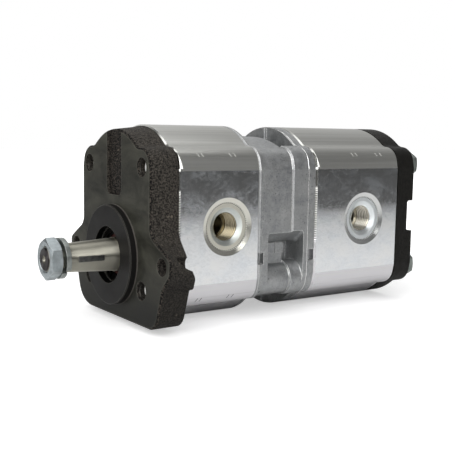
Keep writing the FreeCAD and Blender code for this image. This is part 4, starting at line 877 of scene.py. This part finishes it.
def corner_mark(x, side, up):
    """Vertices of a thin raised strip that follows the corner's arc and leans along X."""
    half_turn = MARK_LENGTH / CORNER_RADIUS / 2
    vertices = []
    for step in range(MARK_STEPS + 1):
        share = step / MARK_STEPS
        angle = math.radians(MARK_ANGLE) + half_turn * (1 - 2 * share)
        for edge, rise in MARK_RING:
            reach = CORNER_RADIUS + rise * MARK_HEIGHT
            vertices.append((x + MARK_LEAN * share + edge * MARK_WIDTH,
                             side * (CORNER_Y + reach * math.cos(angle)),
                             CENTRE_Z + up * (CORNER_RISE + reach * math.sin(angle))))
    return vertices


def add_marks(name, low_x, pairs, up, material):
    """Pairs of marks along both upper corners of a body, or both lower ones."""
    vertices = []
    faces = []
    for start, spacing in pairs:
        for side in (-1, 1):
            for x in (low_x + start, low_x + start + spacing):
                faces += tube_faces(len(vertices), len(MARK_RING), MARK_STEPS)
                vertices += corner_mark(x, side, up)
    add_piece(name, vertices, faces, material)


def add_corner_marks():
    """Extruder's witness marks: those on the upper corners light with a painted highlight and, on the front
    body, dark ones below with painted shade.
    """
    # Painted highlight on the upper marks and painted shade on the lower ones: one kind of mark, lit and
    # shaded
    paint = ground_steel("mark_painted_highlight", (0.66, 0.66, 0.62), 0.4)
    paint.set("Metallic", 0.0)
    light = paint.done()
    dark = plain_metal("mark_painted_shade", (0.12, 0.12, 0.13), 0.4)
    add_marks("front_upper_marks", front_body_low.x, FRONT_MARKS, 1, light)
    add_marks("front_lower_marks", front_body_low.x, FRONT_MARKS, -1, dark)
    add_marks("rear_upper_marks", rear_body_low.x, REAR_MARKS, 1, light)


def node_maker(owner):
    """Function that adds a node to a material or world, with its inputs in their order."""
    tree = owner.node_tree

    def add(kind, *inputs, output=0, **settings):
        node = tree.nodes.new(kind)
        for name, value in settings.items():
            setattr(node, name, value)
        for socket, value in zip(node.inputs, inputs):
            if isinstance(value, bpy.types.NodeSocket):
                tree.links.new(value, socket)
            elif value is not None:
                socket.default_value = value
        return node.outputs[output]

    return add


def reflected_table(add, front, along):
    """The table in reflections, with painted light and shade: dark far in front, then a step and a rise to
    the pump, with a dim corner.
    """
    step = add("ShaderNodeMapRange", front, *TABLE_STEP_Y,
               TABLE_DARK_LEVEL, TABLE_DARK_LEVEL + TABLE_STEP_RISE, interpolation_type="SMOOTHSTEP")
    rise = add("ShaderNodeMapRange", front, *TABLE_RISE_Y, 0.0, TABLE_RISE)
    level = add("ShaderNodeMath", step, rise, operation="ADD")
    corner = add("ShaderNodeMath", front, TABLE_CORNER_TURN, along, operation="MULTIPLY_ADD")
    lit = add("ShaderNodeMapRange", corner, *TABLE_CORNER, TABLE_CORNER_LEVEL, 1.0)
    return add("ShaderNodeMath", level, lit, operation="MULTIPLY")


def clear_of_pump(add, front, along):
    """One on the open table, falling almost to zero under the pump, where shade is painted."""
    beside = add("ShaderNodeMath", front, operation="ABSOLUTE")
    shade = add("ShaderNodeMapRange", beside, *SHADE_HALF_WIDTH, SHADE_LEVEL, 0.0)
    behind_start = add("ShaderNodeMapRange", along, *SHADE_START, 0.0, 1.0)
    before_end = add("ShaderNodeMapRange", along, *SHADE_END, 1.0, 0.0)
    shade = add("ShaderNodeMath", shade, behind_start, operation="MULTIPLY")
    shade = add("ShaderNodeMath", shade, before_end, operation="MULTIPLY")
    return add("ShaderNodeMath", 1.0, shade, operation="SUBTRACT")


def floor_material():
    """White for the camera, with the pump's shadow, and with light and shade painted in for reflections."""
    material = bpy.data.materials.new("floor")
    material.use_nodes = True
    add = node_maker(material)
    place = add("ShaderNodeTexCoord", output="Object")
    seen = add("ShaderNodeLightPath", output="Is Camera Ray")
    front = add("ShaderNodeSeparateXYZ", place, output="Y")
    along = add("ShaderNodeSeparateXYZ", place, output="X")
    clear = clear_of_pump(add, front, along)
    table = add("ShaderNodeMath", reflected_table(add, front, along), clear, operation="MULTIPLY")
    sheen = add("ShaderNodeMapRange", front, *TABLE_RISE_Y, 0.0, TABLE_SHEEN)
    sheen = add("ShaderNodeMath", sheen, clear, operation="MULTIPLY")
    far = add("ShaderNodeVectorMath", place, operation="LENGTH", output="Value")
    glow = add("ShaderNodeMapRange", far, GLOW_NEAR, GLOW_FAR, GLOW_NEAR_LEVEL, 1.0,
               interpolation_type="SMOOTHSTEP")
    shader = material.node_tree.nodes["Principled BSDF"]
    links = material.node_tree.links
    links.new(add("ShaderNodeMix", seen, None, table, FLOOR_LEVEL), shader.inputs["Base Color"])
    links.new(add("ShaderNodeMix", seen, None, sheen, glow), shader.inputs["Emission Strength"])
    shader.inputs["Emission Color"].default_value = (1, 1, 1, 1)
    shader.inputs["Roughness"].default_value = 1.0
    shader.inputs["Specular IOR Level"].default_value = 0.0
    return material


def add_floor():
    """Flat table just under the pump."""
    floor_z = cad_low.z - FLOOR_GAP
    corners = [(x * FLOOR_SIZE, y * FLOOR_SIZE, floor_z) for x, y in ((-1, -1), (1, -1), (1, 1), (-1, 1))]
    mesh = bpy.data.meshes.new("floor")
    mesh.from_pydata(corners, [], [(0, 1, 2, 3)])
    mesh.materials.append(floor_material())
    floor = bpy.data.objects.new("floor", mesh)
    bpy.context.scene.collection.objects.link(floor)


def studio_level(add, direction):
    """The studio in reflections: lighter behind, dark low down in front and bright on the left."""
    along = add("ShaderNodeSeparateXYZ", direction, output="X")
    back = add("ShaderNodeSeparateXYZ", direction, output="Y")
    up = add("ShaderNodeSeparateXYZ", direction, output="Z")
    backdrop = add("ShaderNodeMapRange", up, *ROOM_BACK_UP, ROOM_TOP_LEVEL, ROOM_BACK_LEVEL)
    behind = add("ShaderNodeMapRange", back, *ROOM_BACK_Y, 0.0, 1.0)
    room = add("ShaderNodeMix", behind, None, ROOM_TOP_LEVEL, backdrop)
    ahead = add("ShaderNodeMapRange", back, *ROOM_FRONT_Y, ROOM_FRONT_DIP, 0.0)
    room = add("ShaderNodeMath", room, ahead, operation="ADD")
    front = add("ShaderNodeMapRange", back, *ROOM_DARK_Y, 0.0, 1.0)
    low = add("ShaderNodeMapRange", up, *ROOM_DARK_UP, 0.0, 1.0, interpolation_type="SMOOTHSTEP")
    dark = add("ShaderNodeMath", front, low, operation="MULTIPLY")
    room = add("ShaderNodeMix", dark, None, room, ROOM_DARK_LEVEL)
    left = add("ShaderNodeMapRange", along, *ROOM_LEFT_X, 0.0, 1.0)
    window = add("ShaderNodeMapRange", up, *ROOM_LEFT_UP, ROOM_DARK_LEVEL, ROOM_LEFT_LEVEL)
    fore = add("ShaderNodeMapRange", back, *ROOM_LEFT_Y, 0.0, 1.0)
    beside = add("ShaderNodeMix", fore, None, ROOM_LEFT_BACK_LEVEL, window)
    return add("ShaderNodeMix", left, None, room, beside)


def add_world():
    """White backdrop for the camera, and the studio for the object."""
    world = bpy.data.worlds.new("world")
    world.use_nodes = True
    add = node_maker(world)
    direction = add("ShaderNodeTexCoord", output="Generated")
    seen = add("ShaderNodeLightPath", output="Is Camera Ray")
    level = add("ShaderNodeMix", seen, None, studio_level(add, direction), 1.0)
    background = world.node_tree.nodes["Background"]
    world.node_tree.links.new(level, background.inputs["Strength"])
    background.inputs["Color"].default_value = (1, 1, 1, 1)
    bpy.context.scene.world = world


def add_lamp(name, place, width, height, power):
    """Rectangular softbox that faces the pump."""
    data = bpy.data.lights.new(name, "AREA")
    data.shape = "RECTANGLE"
    data.size = width
    data.size_y = height
    data.energy = power
    lamp = bpy.data.objects.new(name, data)
    turn = (Vector(LAMP_TARGET) - Vector(place)).to_track_quat("-Z", "Y")
    lamp.matrix_world = Matrix.Translation(place) @ turn.to_matrix().to_4x4()
    bpy.context.scene.collection.objects.link(lamp)


bpy.context.scene.view_settings.view_transform = "Standard"
add_camera()
add_floor()
add_world()
for name, (place, width, height, power) in LAMPS.items():
    add_lamp(name, place, width, height, power)
looks = dress_nodes()
add_port_threads(looks)
add_bolt_hole_threads()
add_corner_marks()
